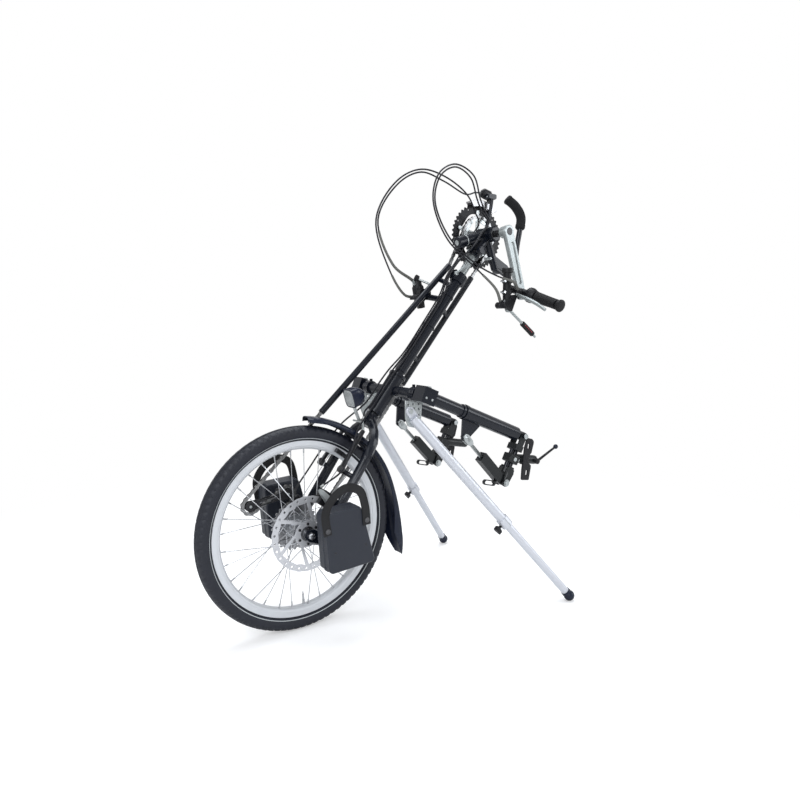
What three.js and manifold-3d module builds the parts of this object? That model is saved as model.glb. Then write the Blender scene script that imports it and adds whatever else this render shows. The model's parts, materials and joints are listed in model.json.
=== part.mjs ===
// A clip-on handcycle: one driven front wheel, a steering column with a hand crank at its top,
// a U-shaped frame with two telescopic beams and docking units, and two fold-out stand legs.
// Millimetres. +X points to the rear, towards the rider, +Y to the rider's right and +Z up.
import * as THREE from "three";
import { mergeVertices } from "three/addons/utils/BufferGeometryUtils.js";
import Module from "manifold-3d";

const wasm = await Module();
wasm.setup();

// Driving dimensions
const gap = 0.3;
const overrun = 4;
const weldDistance = 0.001;
const leftSide = -1;
const rightSide = 1;

const wheel = {
  radius: 243,
  width: 40,
  beadRadius: 203.5,
  casing: 3,
  rimOuter: 209.5,
  rimInner: 189,
  rimWidth: 25,
  rimWall: 2,
  rimWell: 198,
  segments: 30,
};
const hub = {
  bore: 6.4,
  shell: 15,
  flange: 29,
  flangeWidth: 3.2,
  leftFlange: 33,
  rightFlange: 18,
  discSeat: 47,
  discSeatRadius: 20,
  freehub: 17,
  freehubEnd: 53,
  spokes: 32,
  spoke: 1,
  spokeSeat: 4,
};
const axle = { radius: 6, half: 78, nut: 9, nutWidth: 7 };
const rotor = { radius: 88, band: 14, thick: 2, holes: 12, hole: 3.6, spoke: 5, arms: 6, centre: 29 };
const chainPitch = 12.7;
const cassette = {
  teeth: [28, 25, 22, 19, 17, 15, 13],
  step: 4.6,
  plate: 2,
  carrier: 19.5,
  start: 21.5,
  chainOn: 2,
};

const steering = { lean: 38.2, rake: 6.6, headLow: 330, headHigh: 448, crank: 915 };
const fork = {
  steerer: 13,
  crown: 17,
  crownLow: 292,
  crownTop: 326,
  leg: 12,
  spread: 66,
  shoulder: 220,
  shoulderBack: 9,
  footBack: 22,
  foot: 6,
  plate: 5,
  plateRadius: 15,
  bossBack: -18,
  bossHeight: 163,
  bossSpread: 50,
  boss: 6,
  hangerRadius: 8,
  hanger: 11,
  hangerEnd: 10,
  hangerLong: 44,
  hangerThick: 5,
  hangerOut: 4,
  hangerTurn: -33,
};
const head = { radius: 20, bore: 14.5, cup: 23, cupHeight: 7, seat: 13.9 };
const crossTube = { radius: 13, x: 262, z: 552 };
const beam = {
  radius: 15,
  bore: 12.6,
  spread: 143,
  rearX: 573,
  rearZ: 427,
  length: 122,
  start: 14,
  block: 38,
  blockLong: 40,
  collar: 17.5,
  collarWidth: 7,
};
const stand = {
  topX: 245,
  topY: 105,
  topZ: 505,
  footX: 643,
  footY: 265,
  footZ: 14,
  ball: 14,
  upper: 12.5,
  bore: 10.6,
  lower: 10.2,
  collarShare: 0.59,
  collar: 15.5,
  collarWidth: 26,
  overlap: 90,
  plate: 4,
  plateWidth: 50,
  plateLong: 62,
  sleeve: 17.5,
  sleeveLong: 26,
  sleeveBore: 13.9,
  screw: 4,
  knob: 13,
  knobWidth: 11,
  plateHole: 3,
  tongue: 11,
  tongueLong: 40,
  tongueThick: 6,
  tongueBack: 2,
  tongueRise: 8,
  tongueBore: 4,
};
const dock = {
  tube: 12.3,
  tubeInside: 85,
  eyeX: 384,
  eyeY: 133,
  eyeZ: 442,
  lowX: 511,
  lowZ: 311,
  bracket: 5,
  pin: 4,
  rodRadius: 5,
  boxWidth: 22,
  boxDepth: 26,
  boxStartShare: 0.42,
  boxEndShare: 0.93,
  boreShare: 0.35,
  rodStartShare: 0.18,
  link: 7,
  clampLong: 88,
  clampRadius: 12,
  padThick: 6,
  padBack: 36,
  lever: 4,
  leverLong: 62,
  leverBall: 6.5,
  leverBack: 8,
  leverHub: 8,
  leverHubOut: 9,
  leverMiddle: 5,
  leverSide: 8,
  leverRise: 34,
  leverRod: 3.6,
  leverRodEnd: 3,
  pinPast: 3,
  bracketPlay: 1,
  cheek: 11,
  cheekEnd: 9,
  cheekLong: 30,
  bridgeAt: 34,
  bridgeLong: 16,
  bridgeDeep: 26,
  bar: 5.5,
  barOffset: 7.5,
  barHole: 30,
  footBack: 32,
  footBlock: [14, 22, 30],
  ear: 15,
  earEnd: 10,
  earLong: 33,
  earThick: 4,
  tail: 9,
  tailLong: 24,
  tailThick: 12,
  tailBoreBack: 20,
  tailBoreFront: 8,
  loopBack: 44,
  loopRise: 4,
  loopLong: 44,
  loopWide: 14,
  loopThick: 5,
  loopHoleLong: 32,
  loopHoleWide: 9,
  loopTurn: -14,
  loopArm: 4,
  loopArmStart: 12,
  loopArmEnd: 14,
  loopArmRise: 6,
  eye: 9,
  eyeEnd: 8,
  eyeLong: 22,
  eyeThick: 4,
  eyePin: 6,
  eyeRoom: 12.6,
  yokeBack: 18,
  yokeLong: 10,
  yokeDeep: 8,
  clampBlock: [22, 30, 34],
  clampDrop: 14,
  barrelStart: 8,
  channelBack: 8,
  channelSide: 16,
  channelDrop: 4,
  channelTurn: -8,
  channelArm: [16, 16, 18],
  channelArmSide: 10,
  channelArmDrop: 8,
};
const dockBracket = [
  [-8, 56],
  [-11, -4],
  [-6, -10],
  [6, -10],
  [14, -2],
  [46, 22],
  [46, 34],
];
const chairChannel = [
  [-14, -56],
  [14, -56],
  [16, -18],
  [10, -14],
  [4, -10],
  [4, 8],
  [12, 18],
  [16, 46],
  [8, 54],
  [-10, 56],
  [-16, 30],
  [-16, -30],
];
const column = {
  outer: 15,
  start: 458,
  end: 748,
  ring: 17,
  ringWidth: 5,
  ringHeights: [600, 700],
  clamp: 20,
  clampWidth: 26,
  bore: 11.4,
  lug: [14, 22, 20],
  screwBack: 3,
  screwBore: 3.3,
  screwRoom: 20,
};
const neck = { radius: 11, start: 600, end: 886, room: 24 };
const crankset = {
  shell: 20,
  bore: 9.6,
  spindle: 9.2,
  shellLeft: 38,
  shellRight: 24,
  socket: 17,
  socketLow: 838,
  arm: 170,
  armWide: 17,
  armNarrow: 13,
  armThick: 14,
  armSpread: 78,
  leftAngle: -72,
  rightAngle: -27,
  pedal: 7,
  bigRing: 42,
  smallRing: 26,
  ringGap: 7,
  ringThick: 2,
  boomRadius: 13,
  boomX: 470,
  boomZ: 931,
  post: 11,
  postX: 606,
  postZ: 868,
  spider: 16,
  bossRadius: 4,
  spindleCover: 3,
  spindleInset: 1,
};
const guard = {
  radius: 8,
  bore: 6.4,
  lowX: 80,
  lowZ: 506.6,
  highX: 470,
  highZ: 875,
  rearLow: 447,
  rearHigh: 812,
  clipShares: [0.2, 0.62],
};
const link = { half: 4.2, inside: 1.3, side: 2, core: 2.3 };
const pulley = {
  guideX: -12,
  guideZ: 320,
  tensionX: -105,
  tensionZ: 305,
  teeth: 9,
  disc: 12,
  width: 3,
  pin: 3,
};
const cage = { inside: 4.4, plate: 1.5, width: 26 };
const mech = {
  hangerX: 18,
  hangerZ: 300,
  radius: 9,
  inner: 44,
  outer: 68.2,
  knuckle: 39.5,
  knuckleEnd: 56,
  pin: 4,
  pinInset: 5,
  boreInset: 4,
  linkInset: 7,
};
const shifter = {
  y: 79,
  radius: 13,
  lowX: 412,
  lowZ: 762,
  highX: 396,
  highZ: 836,
  stub: 8,
  stubHeight: 690,
  stubShare: 0.42,
};
const handle = {
  inner: 94,
  outer: 126,
  barrel: 13,
  bore: 7.4,
  y: 112,
  bracket: 10,
  postX: 546,
  postZ: 812,
  post: 11,
  postLow: 765,
  postHigh: 855,
  barX: 600,
  barZ: 812,
  barEndX: 603,
  barEndY: 245,
  barEndZ: 762,
  bar: 10,
  twist: 20,
  grip: 14,
  gripEnd: 16,
  rod: 8.5,
  foam: 15,
  barDrop: 10,
  capInset: 5,
  capHeight: 7,
  perchBlock: [24, 14, 18],
  perchAhead: 10,
  perchHub: 9,
  perchSlot: 4.6,
  perchSlotRadius: 16,
  parkBlock: [44, 18, 16],
  parkBack: 16,
  parkRise: 8,
  parkSlot: [46, 9.2, 40],
  gripStart: 164,
  ridge: 1.2,
  ridgeWidth: 4,
  gripEndWidth: 6,
  barRoom: 60,
  twistStart: 138,
  twistEnd: 160,
  collarStart: 139,
  collarEnd: 153,
  twistBoreStart: 130,
  twistBoreEnd: 170,
};
const rightHandle = [
  [765, 112, 868],
  [790, 112, 905],
  [800, 112, 960],
  [811, 113, 1008],
  [816, 115, 1045],
  [800, 122, 1075],
  [772, 132, 1098],
];
const lever = {
  pivotX: 572,
  pivotY: 124,
  pivotZ: 796,
  radius: 4,
  pin: 3,
  pinHalf: 11,
  pinRoom: 20,
  hub: 7,
  hubHalf: 3.7,
  rootX: 7,
  rootY: 16,
  rootZ: 6,
  tipX: 12,
  tipY: 235,
  tipZ: 44,
  parkX: 552,
  parkZ: 758,
  parkRadius: 5,
  parkHalf: 4.2,
  parkTipX: 653,
  parkTipZ: 684,
};
const frontMech = {
  behind: 31.2,
  above: 10,
  clear: 13,
  band: 18,
  y: 20,
  arm: 6,
  rail: 4,
  width: 28,
  barrel: 7,
  bore: 4.3,
  pin: 4,
  pinInset: 1,
  windowRoom: 3,
  bridge: 5,
  leftGap: 4.7,
  rightGap: 2.8,
  overlap: 1,
  neckWide: 12,
  neckDeep: 8,
  neckShift: 3,
  neckDrop: 2,
  tabThick: 3,
  tabDeep: 18,
  tabDrop: 9,
  block: [16, 14, 14],
  blockBack: 7,
  blockOut: 6,
  blockRise: 9,
  web: [10, 6, 10],
  webBack: 3,
  webRise: 4,
};
const caseBox = {
  inner: 90,
  depth: 48,
  shiftX: -45,
  shiftZ: 22,
  strap: 20,
  strapThick: 2.5,
  rivet: 6,
  rivetInset: 1,
  rivetHead: 3,
};
const caseSide = [
  [6, 308],
  [86, 313],
  [93, 306],
  [125, 186],
  [120, 179],
  [16, 172],
  [9, 178],
  [0, 301],
];
const strapRoute = [
  [4, 262],
  [0, 315],
  [25, 350],
  [55, 362],
  [85, 350],
  [98, 315],
  [103, 270],
];
const strapRivets = [
  [4, 272],
  [103, 281],
];
const brake = {
  height: 163,
  top: 270,
  topSpread: 42,
  arm: 11,
  pad: 10,
  padLong: 42,
  padHeight: 198,
  padOffset: 13.3,
  padPost: 4,
  padPostInset: 3,
  noodle: 3,
  noodleRise: 22,
  noodleEnd: 2.5,
  noodleEndRise: 20,
  cableRise: 26,
};
const caliper = {
  height: 86,
  long: 38,
  wide: 27,
  tall: 34,
  y: 50,
  slot: 1.3,
  slotRoom: 3,
  domeInset: 1,
  domeOut: 3,
  arm: 34,
  armHub: 10,
  armTip: 5,
  armThick: 5,
  armTurn: 128,
  pin: 4,
  pinStart: 3,
  pinOut: 8,
  boreStart: 2,
  pinTrim: 4.5,
  pinTrimRadius: 8,
  cableInset: 2.5,
  cableRise: 9,
};
const fender = {
  inner: 262,
  thick: 2.5,
  half: 28,
  lip: 7,
  lipWide: 2.5,
  front: 85,
  rear: -13,
  post: 5,
  flapX: 288,
  flapZ: 124,
};
const lamp = { x: 152, z: 546, y: 10, radius: 24, long: 42, tilt: 6, arm: 5, knee: 24, armInset: 4 };
const cable = { radius: 2.5, sides: 8, steps: 25, leverOut: 12, leverBack: 3 };

// Cable routes: free loops as points, and runs down the column as distances round it
const brakeLoopRoute = [
  [546, -137, 824],
  [508, -120, 838],
  [465, -90, 866],
  [398, -60, 931],
  [363, -44, 1020],
  [385, -38, 1085],
  [435, -36, 1112],
  [486, -34, 1092],
  [512, -30, 1042],
  [540, -22, 1010],
];
const parkLoopRoute = [
  [524, -112, 776],
  [512, -108, 806],
  [462, -92, 855],
  [392, -58, 928],
  [357, -44, 1021],
  [380, -38, 1090],
  [435, -36, 1119],
  [491, -40, 1097],
  [518, -36, 1042],
  [545, -28, 1010],
];
const selectorRoute = [
  [379, 75, 835],
  [300, 52, 872],
  [252, 44, 977],
  [301, 28, 1066],
  [366, 18, 1101],
  [434, 12, 1086],
  [510, 14, 1062],
  [552, 24, 1073],
  [581, 33, 1076],
];
const gearRoute = [
  [388, 79, 790],
  [350, 70, 796],
  [288, 52, 862],
  [245, 42, 977],
  [297, 28, 1072],
  [366, 18, 1108],
  [434, 4, 1095],
  [496, -8, 1056],
  [538, 6, 1016],
];
const shellPass = {
  out: [28, 27, 27],
  heights: [935, 895, 850],
  brakeY: -19,
  parkY: -25,
  gearY: 18,
  step: 1,
};
const brakeColumn = {
  out: [32, 32, 24, 21, 22, 31, 31],
  heights: [792, 745, 690, 600, 500, 440, 340],
  turns: [10, 10, 36, 40, 40, 38, 38],
};
const parkColumn = {
  out: [32, 32, 24, 21, 22, 31, 31],
  heights: [792, 745, 690, 600, 500, 440, 340],
  turns: [-1, -1, 20, 22, 22, 24, 24],
};
const gearColumn = {
  out: [32, 32, 24, 21, 22, 31, 31, 31],
  heights: [800, 745, 690, 600, 500, 440, 390, 345],
  turns: [-14, -12, 4, 4, 4, 0, -14, -38],
};
const brakeFork = [
  [-38, -42, 268],
  [-36, -64, 210],
  [-32, -72, 160],
];
const parkFork = [-32, -13, 315];
const gearFork = [
  [-38, 42, 268],
  [-36, 60, 200],
  [-36, 62, 130],
];
const gearEnd = [14, 60, 312];

const rad = THREE.MathUtils.degToRad;
const lean = rad(steering.lean);
const yAxis = new THREE.Vector3(0, 1, 0);
const xAxis = new THREE.Vector3(1, 0, 0);
const zAxis = new THREE.Vector3(0, 0, 1);

function point(x, y, z) {
  return new THREE.Vector3(x, y, z);
}

function along(start, end, share) {
  return start.clone().lerp(end, share);
}

function stepTo(start, direction, distance) {
  return start.clone().addScaledVector(direction, distance);
}

// Solids: a closed geometry becomes a solid, and solids are joined and cut
function solid(geometry) {
  const bare = new THREE.BufferGeometry();
  bare.setAttribute("position", geometry.getAttribute("position").clone());
  if (geometry.index) bare.setIndex(geometry.index.clone());
  const merged = mergeVertices(bare, weldDistance);
  const corners = merged.index.array;
  const places = merged.getAttribute("position");
  const kept = [];
  const [p, q, r] = [point(0, 0, 0), point(0, 0, 0), point(0, 0, 0)];
  let volume = 0;
  for (let i = 0; i < corners.length; i += 3) {
    const [a, b, c] = [corners[i], corners[i + 1], corners[i + 2]];
    if (a === b || b === c || c === a) continue;
    kept.push(a, b, c);
    p.fromBufferAttribute(places, a);
    q.fromBufferAttribute(places, b);
    r.fromBufferAttribute(places, c);
    volume += p.dot(q.cross(r));
  }
  if (volume < 0) kept.reverse();
  return new wasm.Manifold(
    new wasm.Mesh({
      numProp: 3,
      vertProperties: new Float32Array(places.array),
      triVerts: new Uint32Array(kept),
    })
  );
}

function join(pieces) {
  return pieces.reduce((whole, piece) => whole.add(piece));
}

function cut(whole, pieces) {
  return pieces.reduce((rest, piece) => rest.subtract(piece), whole);
}

function toGeometry(piece) {
  const mesh = piece.getMesh();
  const flat = new THREE.BufferGeometry();
  flat.setAttribute("position", new THREE.BufferAttribute(new Float32Array(mesh.vertProperties), 3));
  flat.setIndex(new THREE.BufferAttribute(new Uint32Array(mesh.triVerts), 1));
  const facets = flat.toNonIndexed();
  facets.computeVertexNormals();
  return facets;
}

// Basic forms, each placed by the two ends of its axis or by its own directions
function between(start, end) {
  const direction = end.clone().sub(start).normalize();
  const turn = new THREE.Quaternion().setFromUnitVectors(yAxis, direction);
  return new THREE.Matrix4().compose(start, turn, point(1, 1, 1));
}

function rod(start, end, radius, sides = 10, endRadius = radius) {
  const length = start.distanceTo(end);
  const shape = new THREE.CylinderGeometry(endRadius, radius, length, sides);
  shape.translate(0, length / 2, 0);
  return solid(shape.applyMatrix4(between(start, end)));
}

function tube(start, end, radius, bore, sides = 10) {
  const direction = end.clone().sub(start).normalize();
  const core = rod(stepTo(start, direction, -overrun), stepTo(end, direction, overrun), bore, sides);
  return rod(start, end, radius, sides).subtract(core);
}

function box(centre, size, directions = [xAxis, yAxis, zAxis]) {
  const place = new THREE.Matrix4().makeBasis(...directions).setPosition(centre);
  return solid(new THREE.BoxGeometry(...size).applyMatrix4(place));
}

function ball(centre, radius, sides = 8) {
  const shape = new THREE.SphereGeometry(radius, sides, sides / 2);
  return solid(shape.translate(centre.x, centre.y, centre.z));
}

// A plate is an outline in its own plane, thickened along the plate's normal
function plate(outline, thickness, origin, directions, holes = []) {
  const shape = new THREE.Shape(outline.map(([u, v]) => new THREE.Vector2(u, v)));
  for (const [u, v, radius, sides] of holes) {
    const hole = new THREE.Path();
    hole.absarc(u, v, radius, 0, 2 * Math.PI, true);
    shape.holes.push(new THREE.Path(hole.getPoints(sides ?? 6)));
  }
  const body = new THREE.ExtrudeGeometry(shape, { depth: thickness, bevelEnabled: false });
  const place = new THREE.Matrix4().makeBasis(...directions).setPosition(origin);
  return solid(body.applyMatrix4(place));
}

function sweep(points, radius, sides, steps, closedPath = false) {
  const path = new THREE.CatmullRomCurve3(points, closedPath, "centripetal");
  const corners = [];
  for (let i = 0; i < sides; i += 1) {
    const angle = (2 * Math.PI * i) / sides;
    corners.push(new THREE.Vector2(radius * Math.cos(angle), radius * Math.sin(angle)));
  }
  const shape = new THREE.ExtrudeGeometry(new THREE.Shape(corners), { extrudePath: path, steps });
  return solid(shape);
}

function slotOutline(length, width, steps = 4) {
  const points = [];
  for (const end of [1, -1]) {
    for (let i = 0; i <= steps; i += 1) {
      const angle = ((end > 0 ? -1 : 1) * Math.PI) / 2 + (Math.PI * i) / steps;
      const reach = (end * (length - width)) / 2;
      points.push([reach + (width / 2) * Math.cos(angle), (width / 2) * Math.sin(angle)]);
    }
  }
  return points;
}

const handcycle = new THREE.Group();
handcycle.name = "handcycle";

function add(name, shape, colour, roughness, metalness) {
  const finish = new THREE.MeshStandardMaterial({ color: colour, roughness, metalness });
  const mesh = new THREE.Mesh(toGeometry(shape), finish);
  mesh.name = name;
  handcycle.add(mesh);
}

// Places along the steering axis: back is square to the axis in the middle plane, up is along it
const hubCentre = point(0, 0, wheel.radius);
const up = point(Math.sin(lean), 0, Math.cos(lean));
const back = point(Math.cos(lean), 0, -Math.sin(lean));
const axisBase = stepTo(hubCentre, back, steering.rake);

function onColumn(offset, y, height) {
  return stepTo(stepTo(stepTo(axisBase, back, offset), yAxis, y), up, height);
}

// Wheel: a C-shaped tyre casing on a box-section rim
function wheelRing(profile) {
  const points = profile.map(([radius, y]) => new THREE.Vector2(radius, y));
  points.push(points[0].clone());
  const shape = new THREE.LatheGeometry(points, wheel.segments);
  return solid(shape.translate(hubCentre.x, hubCentre.y, hubCentre.z));
}

const bead = wheel.rimWidth / 2 - wheel.rimWall - gap;
const flangeTop = wheel.rimOuter + gap;
const wallHeight = wheel.radius - flangeTop;
const halfTyre = wheel.width / 2;
const treadShares = [
  [0.06, 0.72],
  [0.45, 1],
  [1, 0.42],
];
const innerShares = [
  [0.45, 1],
  [1, 0.4],
];
const tyreOuter = [
  [wheel.beadRadius, bead],
  [flangeTop, bead],
  ...treadShares.map(([rise, reach]) => [flangeTop + rise * wallHeight, reach * halfTyre]),
];
const tyreInner = [
  [wheel.beadRadius, bead - wheel.casing],
  [flangeTop + wheel.casing, bead - wheel.casing],
  ...innerShares.map(([rise, reach]) => [
    flangeTop + wheel.casing + rise * (wallHeight - 2 * wheel.casing),
    reach * (halfTyre - wheel.casing),
  ]),
];
const leftHalf = (outline) => outline.map(([radius, y]) => [radius, -y]);
const tyreLoop = [
  ...tyreOuter,
  ...leftHalf(tyreOuter).reverse(),
  ...leftHalf(tyreInner),
  ...[...tyreInner].reverse(),
];
add("tyre", wheelRing(tyreLoop), 0x17181a, 0.9, 0);

const rimHalf = wheel.rimWidth / 2;
const rimSide = [
  [wheel.rimInner, rimHalf * 0.6],
  [wheel.rimInner + 2 * wheel.rimWall, rimHalf],
  [wheel.rimOuter, rimHalf],
  [wheel.rimOuter, rimHalf - wheel.rimWall],
  [wheel.beadRadius - gap, rimHalf - wheel.rimWall],
  [wheel.rimWell, rimHalf * 0.5],
];
add("rim", wheelRing([...rimSide, ...leftHalf(rimSide).reverse()]), 0xd6d9dc, 0.3, 0.9);

// Hub shell with flanges, disc seat and freehub, and its laced spokes
const hubLeft = hub.discSeat + 5 * gap + rotor.thick;
const hubProfile = [
  [hub.bore, -hubLeft],
  [hub.freehub - 1.5 * gap, -hubLeft],
  [hub.freehub - 1.5 * gap, -hub.discSeat],
  [hub.discSeatRadius, -hub.discSeat],
  [hub.discSeatRadius, -hub.discSeat + hub.flangeWidth],
  [hub.shell, -hub.discSeat + 2 * hub.flangeWidth],
  [hub.shell, -hub.leftFlange - hub.flangeWidth],
  [hub.flange, -hub.leftFlange - hub.flangeWidth / 2],
  [hub.flange, -hub.leftFlange + hub.flangeWidth / 2],
  [hub.shell, -hub.leftFlange + hub.flangeWidth],
  [hub.shell, hub.rightFlange - hub.flangeWidth],
  [hub.flange, hub.rightFlange - hub.flangeWidth / 2],
  [hub.flange, hub.rightFlange + hub.flangeWidth / 2],
  [hub.freehub, hub.rightFlange + hub.flangeWidth / 2 + gap],
  [hub.freehub, hub.freehubEnd],
  [hub.bore, hub.freehubEnd],
];
const hubPieces = [];
const hubShape = new THREE.LatheGeometry(
  [...hubProfile, hubProfile[0]].map(([r, y]) => new THREE.Vector2(r, y)),
  12
);
hubPieces.push(solid(hubShape.translate(hubCentre.x, hubCentre.y, hubCentre.z)));
const spokeEnd = wheel.rimInner * Math.cos(Math.PI / wheel.segments) - gap - 0.4 * hub.spoke;
for (let i = 0; i < hub.spokes; i += 1) {
  const side = i % 2 === 0 ? leftSide : rightSide;
  const crossing = Math.floor(i / 2) % 2 === 0 ? 1 : -1;
  const rimAngle = (2 * Math.PI * (i + 0.5)) / hub.spokes;
  const hubAngle = rimAngle + crossing * rad(62);
  const flangeY = side === leftSide ? -hub.leftFlange : hub.rightFlange;
  const seat = hub.flange - 2 * hub.spoke;
  const outward = (side * crossing * hub.flangeWidth) / 2;
  const inner = point(seat * Math.cos(hubAngle), flangeY + outward, seat * Math.sin(hubAngle));
  const outer = point(
    spokeEnd * Math.cos(rimAngle),
    side * hub.spokeSeat,
    spokeEnd * Math.sin(rimAngle)
  );
  hubPieces.push(rod(inner.add(hubCentre), outer.add(hubCentre), hub.spoke, 3));
}
add("hub_and_spokes", join(hubPieces), 0xc4c7ca, 0.3, 0.9);

// Disc brake rotor: a drilled band on six slanted arms
function ringOutline(radius, steps, waves = 0, depth = 0) {
  const points = [];
  for (let i = 0; i < steps; i += 1) {
    const angle = (2 * Math.PI * i) / steps;
    const reach = radius + (waves ? (depth * (1 + Math.cos(waves * angle))) / 2 : 0);
    points.push([reach * Math.cos(angle), reach * Math.sin(angle)]);
  }
  return points;
}

function circleHoles(count, pitchRadius, radius, sides = 8, phase = 0) {
  const holes = [];
  for (let i = 0; i < count; i += 1) {
    const angle = (2 * Math.PI * (i + phase)) / count;
    holes.push([pitchRadius * Math.cos(angle), pitchRadius * Math.sin(angle), radius, sides]);
  }
  return holes;
}

// A plate in the middle plane's directions: its outline is in X and Z, its thickness runs from y up
function sidePlate(outline, thickness, x, y, z, holes = [], turn = 0) {
  const u = point(Math.cos(turn), 0, Math.sin(turn));
  const v = point(-Math.sin(turn), 0, Math.cos(turn));
  const normal = yAxis.clone().negate();
  return plate(outline, thickness, point(x, y + thickness, z), [u, v, normal], holes);
}

const rotorY = -hub.discSeat - gap - rotor.thick;
const rotorBand = sidePlate(ringOutline(rotor.radius, 28), rotor.thick, 0, rotorY, wheel.radius, [
  ...circleHoles(rotor.holes, rotor.radius - rotor.band / 2, rotor.hole, 6),
  [0, 0, rotor.radius - rotor.band, 18],
]);
const rotorCentre = sidePlate(ringOutline(rotor.centre, 12), rotor.thick, 0, rotorY, wheel.radius, [
  [0, 0, hub.freehub, 10],
]);
const rotorArms = [];
for (let i = 0; i < rotor.arms; i += 1) {
  const angle = (2 * Math.PI * i) / rotor.arms;
  const inner = rotor.centre - rotor.spoke;
  const outer = rotor.radius - rotor.band + rotor.spoke / 2;
  const start = [inner * Math.cos(angle), inner * Math.sin(angle)];
  const end = [outer * Math.cos(angle + rad(28)), outer * Math.sin(angle + rad(28))];
  const across = [end[1] - start[1], start[0] - end[0]];
  const scale = rotor.spoke / 2 / Math.hypot(...across);
  const arm = [
    [start[0] + across[0] * scale, start[1] + across[1] * scale],
    [end[0] + across[0] * scale, end[1] + across[1] * scale],
    [end[0] - across[0] * scale, end[1] - across[1] * scale],
    [start[0] - across[0] * scale, start[1] - across[1] * scale],
  ];
  rotorArms.push(sidePlate(arm, rotor.thick, 0, rotorY, wheel.radius));
}
add("disc_rotor", join([rotorBand, rotorCentre, ...rotorArms]), 0xcfd3d6, 0.25, 1);

// Cassette: seven sprockets of falling size on one carrier
function pitchRadius(teeth) {
  return chainPitch / (2 * Math.sin(Math.PI / teeth));
}

function sprocket(teeth, thickness, x, y, z, holes, turn = 0) {
  const tip = 0.2 * chainPitch;
  return sidePlate(
    ringOutline(pitchRadius(teeth) - tip, 2 * teeth, teeth, 2 * tip),
    thickness,
    x,
    y,
    z,
    holes,
    turn
  );
}

const cassettePieces = cassette.teeth.map((teeth, index) => {
  const toothed = index === cassette.chainOn;
  const y = cassette.start + index * cassette.step;
  const holes = [[0, 0, hub.freehub + 3.5 * gap, 12]];
  if (toothed) return sprocket(teeth, cassette.plate, 0, y, wheel.radius, holes);
  return sidePlate(ringOutline(pitchRadius(teeth), 14), cassette.plate, 0, y, wheel.radius, holes);
});
const cassetteLength = (cassette.teeth.length - 1) * cassette.step + cassette.plate;
cassettePieces.push(
  tube(
    point(0, cassette.start, wheel.radius),
    point(0, cassette.start + cassetteLength, wheel.radius),
    cassette.carrier,
    hub.freehub + 3.5 * gap,
    12
  )
);
add("cassette", join(cassettePieces), 0x8d9196, 0.35, 1);

// Axle with cones inside the fork ends and nuts outside them
const plateIn = fork.spread - fork.plate - 1.5;
const plateOut = plateIn + fork.plate;
function axleSpan(from, to, radius, sides = 10) {
  return rod(point(0, from, wheel.radius), point(0, to, wheel.radius), radius, sides);
}
const hubRight = hub.freehubEnd;
add(
  "axle",
  join([
    axleSpan(-axle.half, axle.half, axle.radius),
    axleSpan(-plateIn + gap, -hubLeft - gap, axle.nut),
    axleSpan(hubRight + gap, plateIn - gap, axle.nut),
    axleSpan(-plateOut - gap - axle.nutWidth, -plateOut - gap, axle.nut, 6),
    axleSpan(plateOut + gap, plateOut + gap + axle.nutWidth, axle.nut, 6),
  ]),
  0xb8bcc0,
  0.35,
  0.9
);

// Fork: steerer and crown, two splayed legs behind the axle, end plates, brake bosses and box hangers
function forkLeg(side) {
  const shoulder = onColumn(fork.shoulderBack, side * fork.spread, fork.shoulder);
  const foot = onColumn(fork.footBack, side * fork.spread, fork.foot);
  const start = (fork.crownLow + fork.crownTop) / 2;
  const drop = start - fork.shoulder;
  const bend = sweep(
    [
      onColumn(0, 0, start),
      onColumn(0.3 * fork.shoulderBack, side * fork.spread * 0.52, start - 0.2 * drop),
      onColumn(0.8 * fork.shoulderBack, side * fork.spread * 0.88, start - 0.56 * drop),
      stepTo(shoulder, up, -fork.leg),
    ],
    fork.leg,
    8,
    5
  );
  const leg = rod(shoulder, foot, fork.leg, 8);
  const atAxle = Math.hypot(fork.footBack + steering.rake, fork.foot);
  const plateTurn = Math.atan2(foot.z - wheel.radius, foot.x);
  const outline = hull(fork.plateRadius, fork.leg, atAxle);
  const plateY = side === leftSide ? -plateOut : plateIn;
  const endPlate = sidePlate(
    outline,
    fork.plate,
    0,
    plateY,
    wheel.radius,
    [[0, 0, axle.radius + gap, 10]],
    plateTurn
  );
  const bossBack = onColumn(fork.shoulderBack, side * fork.spread, fork.bossHeight);
  const bossTip = onColumn(fork.bossBack, side * fork.bossSpread, fork.bossHeight);
  const hangers = [60, 10].map((height) => {
    const share = (fork.shoulder - height) / (fork.shoulder - fork.foot);
    const atLeg = along(shoulder, foot, share);
    return rod(atLeg, point(atLeg.x, side * (caseBox.inner - gap), atLeg.z), fork.hangerRadius, 8);
  });
  const bossRoot = onColumn(fork.bossBack + fork.boss, side * fork.bossSpread, fork.bossHeight);
  const boss = rod(bossBack, bossRoot, fork.boss, 8).add(rod(bossRoot, bossTip, fork.boss, 8));
  return [bend, leg, endPlate, boss, ...hangers];
}

// The outline round two circles whose centres are a length apart
function hull(firstRadius, secondRadius, length, steps = 3) {
  const tilt = Math.acos((firstRadius - secondRadius) / length);
  const points = [];
  for (let i = 0; i <= steps; i += 1) {
    const angle = tilt + ((2 * Math.PI - 2 * tilt) * i) / steps;
    points.push([firstRadius * Math.cos(angle), firstRadius * Math.sin(angle)]);
  }
  for (let i = 0; i <= steps; i += 1) {
    const angle = -tilt + (2 * tilt * i) / steps;
    points.push([length + secondRadius * Math.cos(angle), secondRadius * Math.sin(angle)]);
  }
  return points;
}

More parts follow.
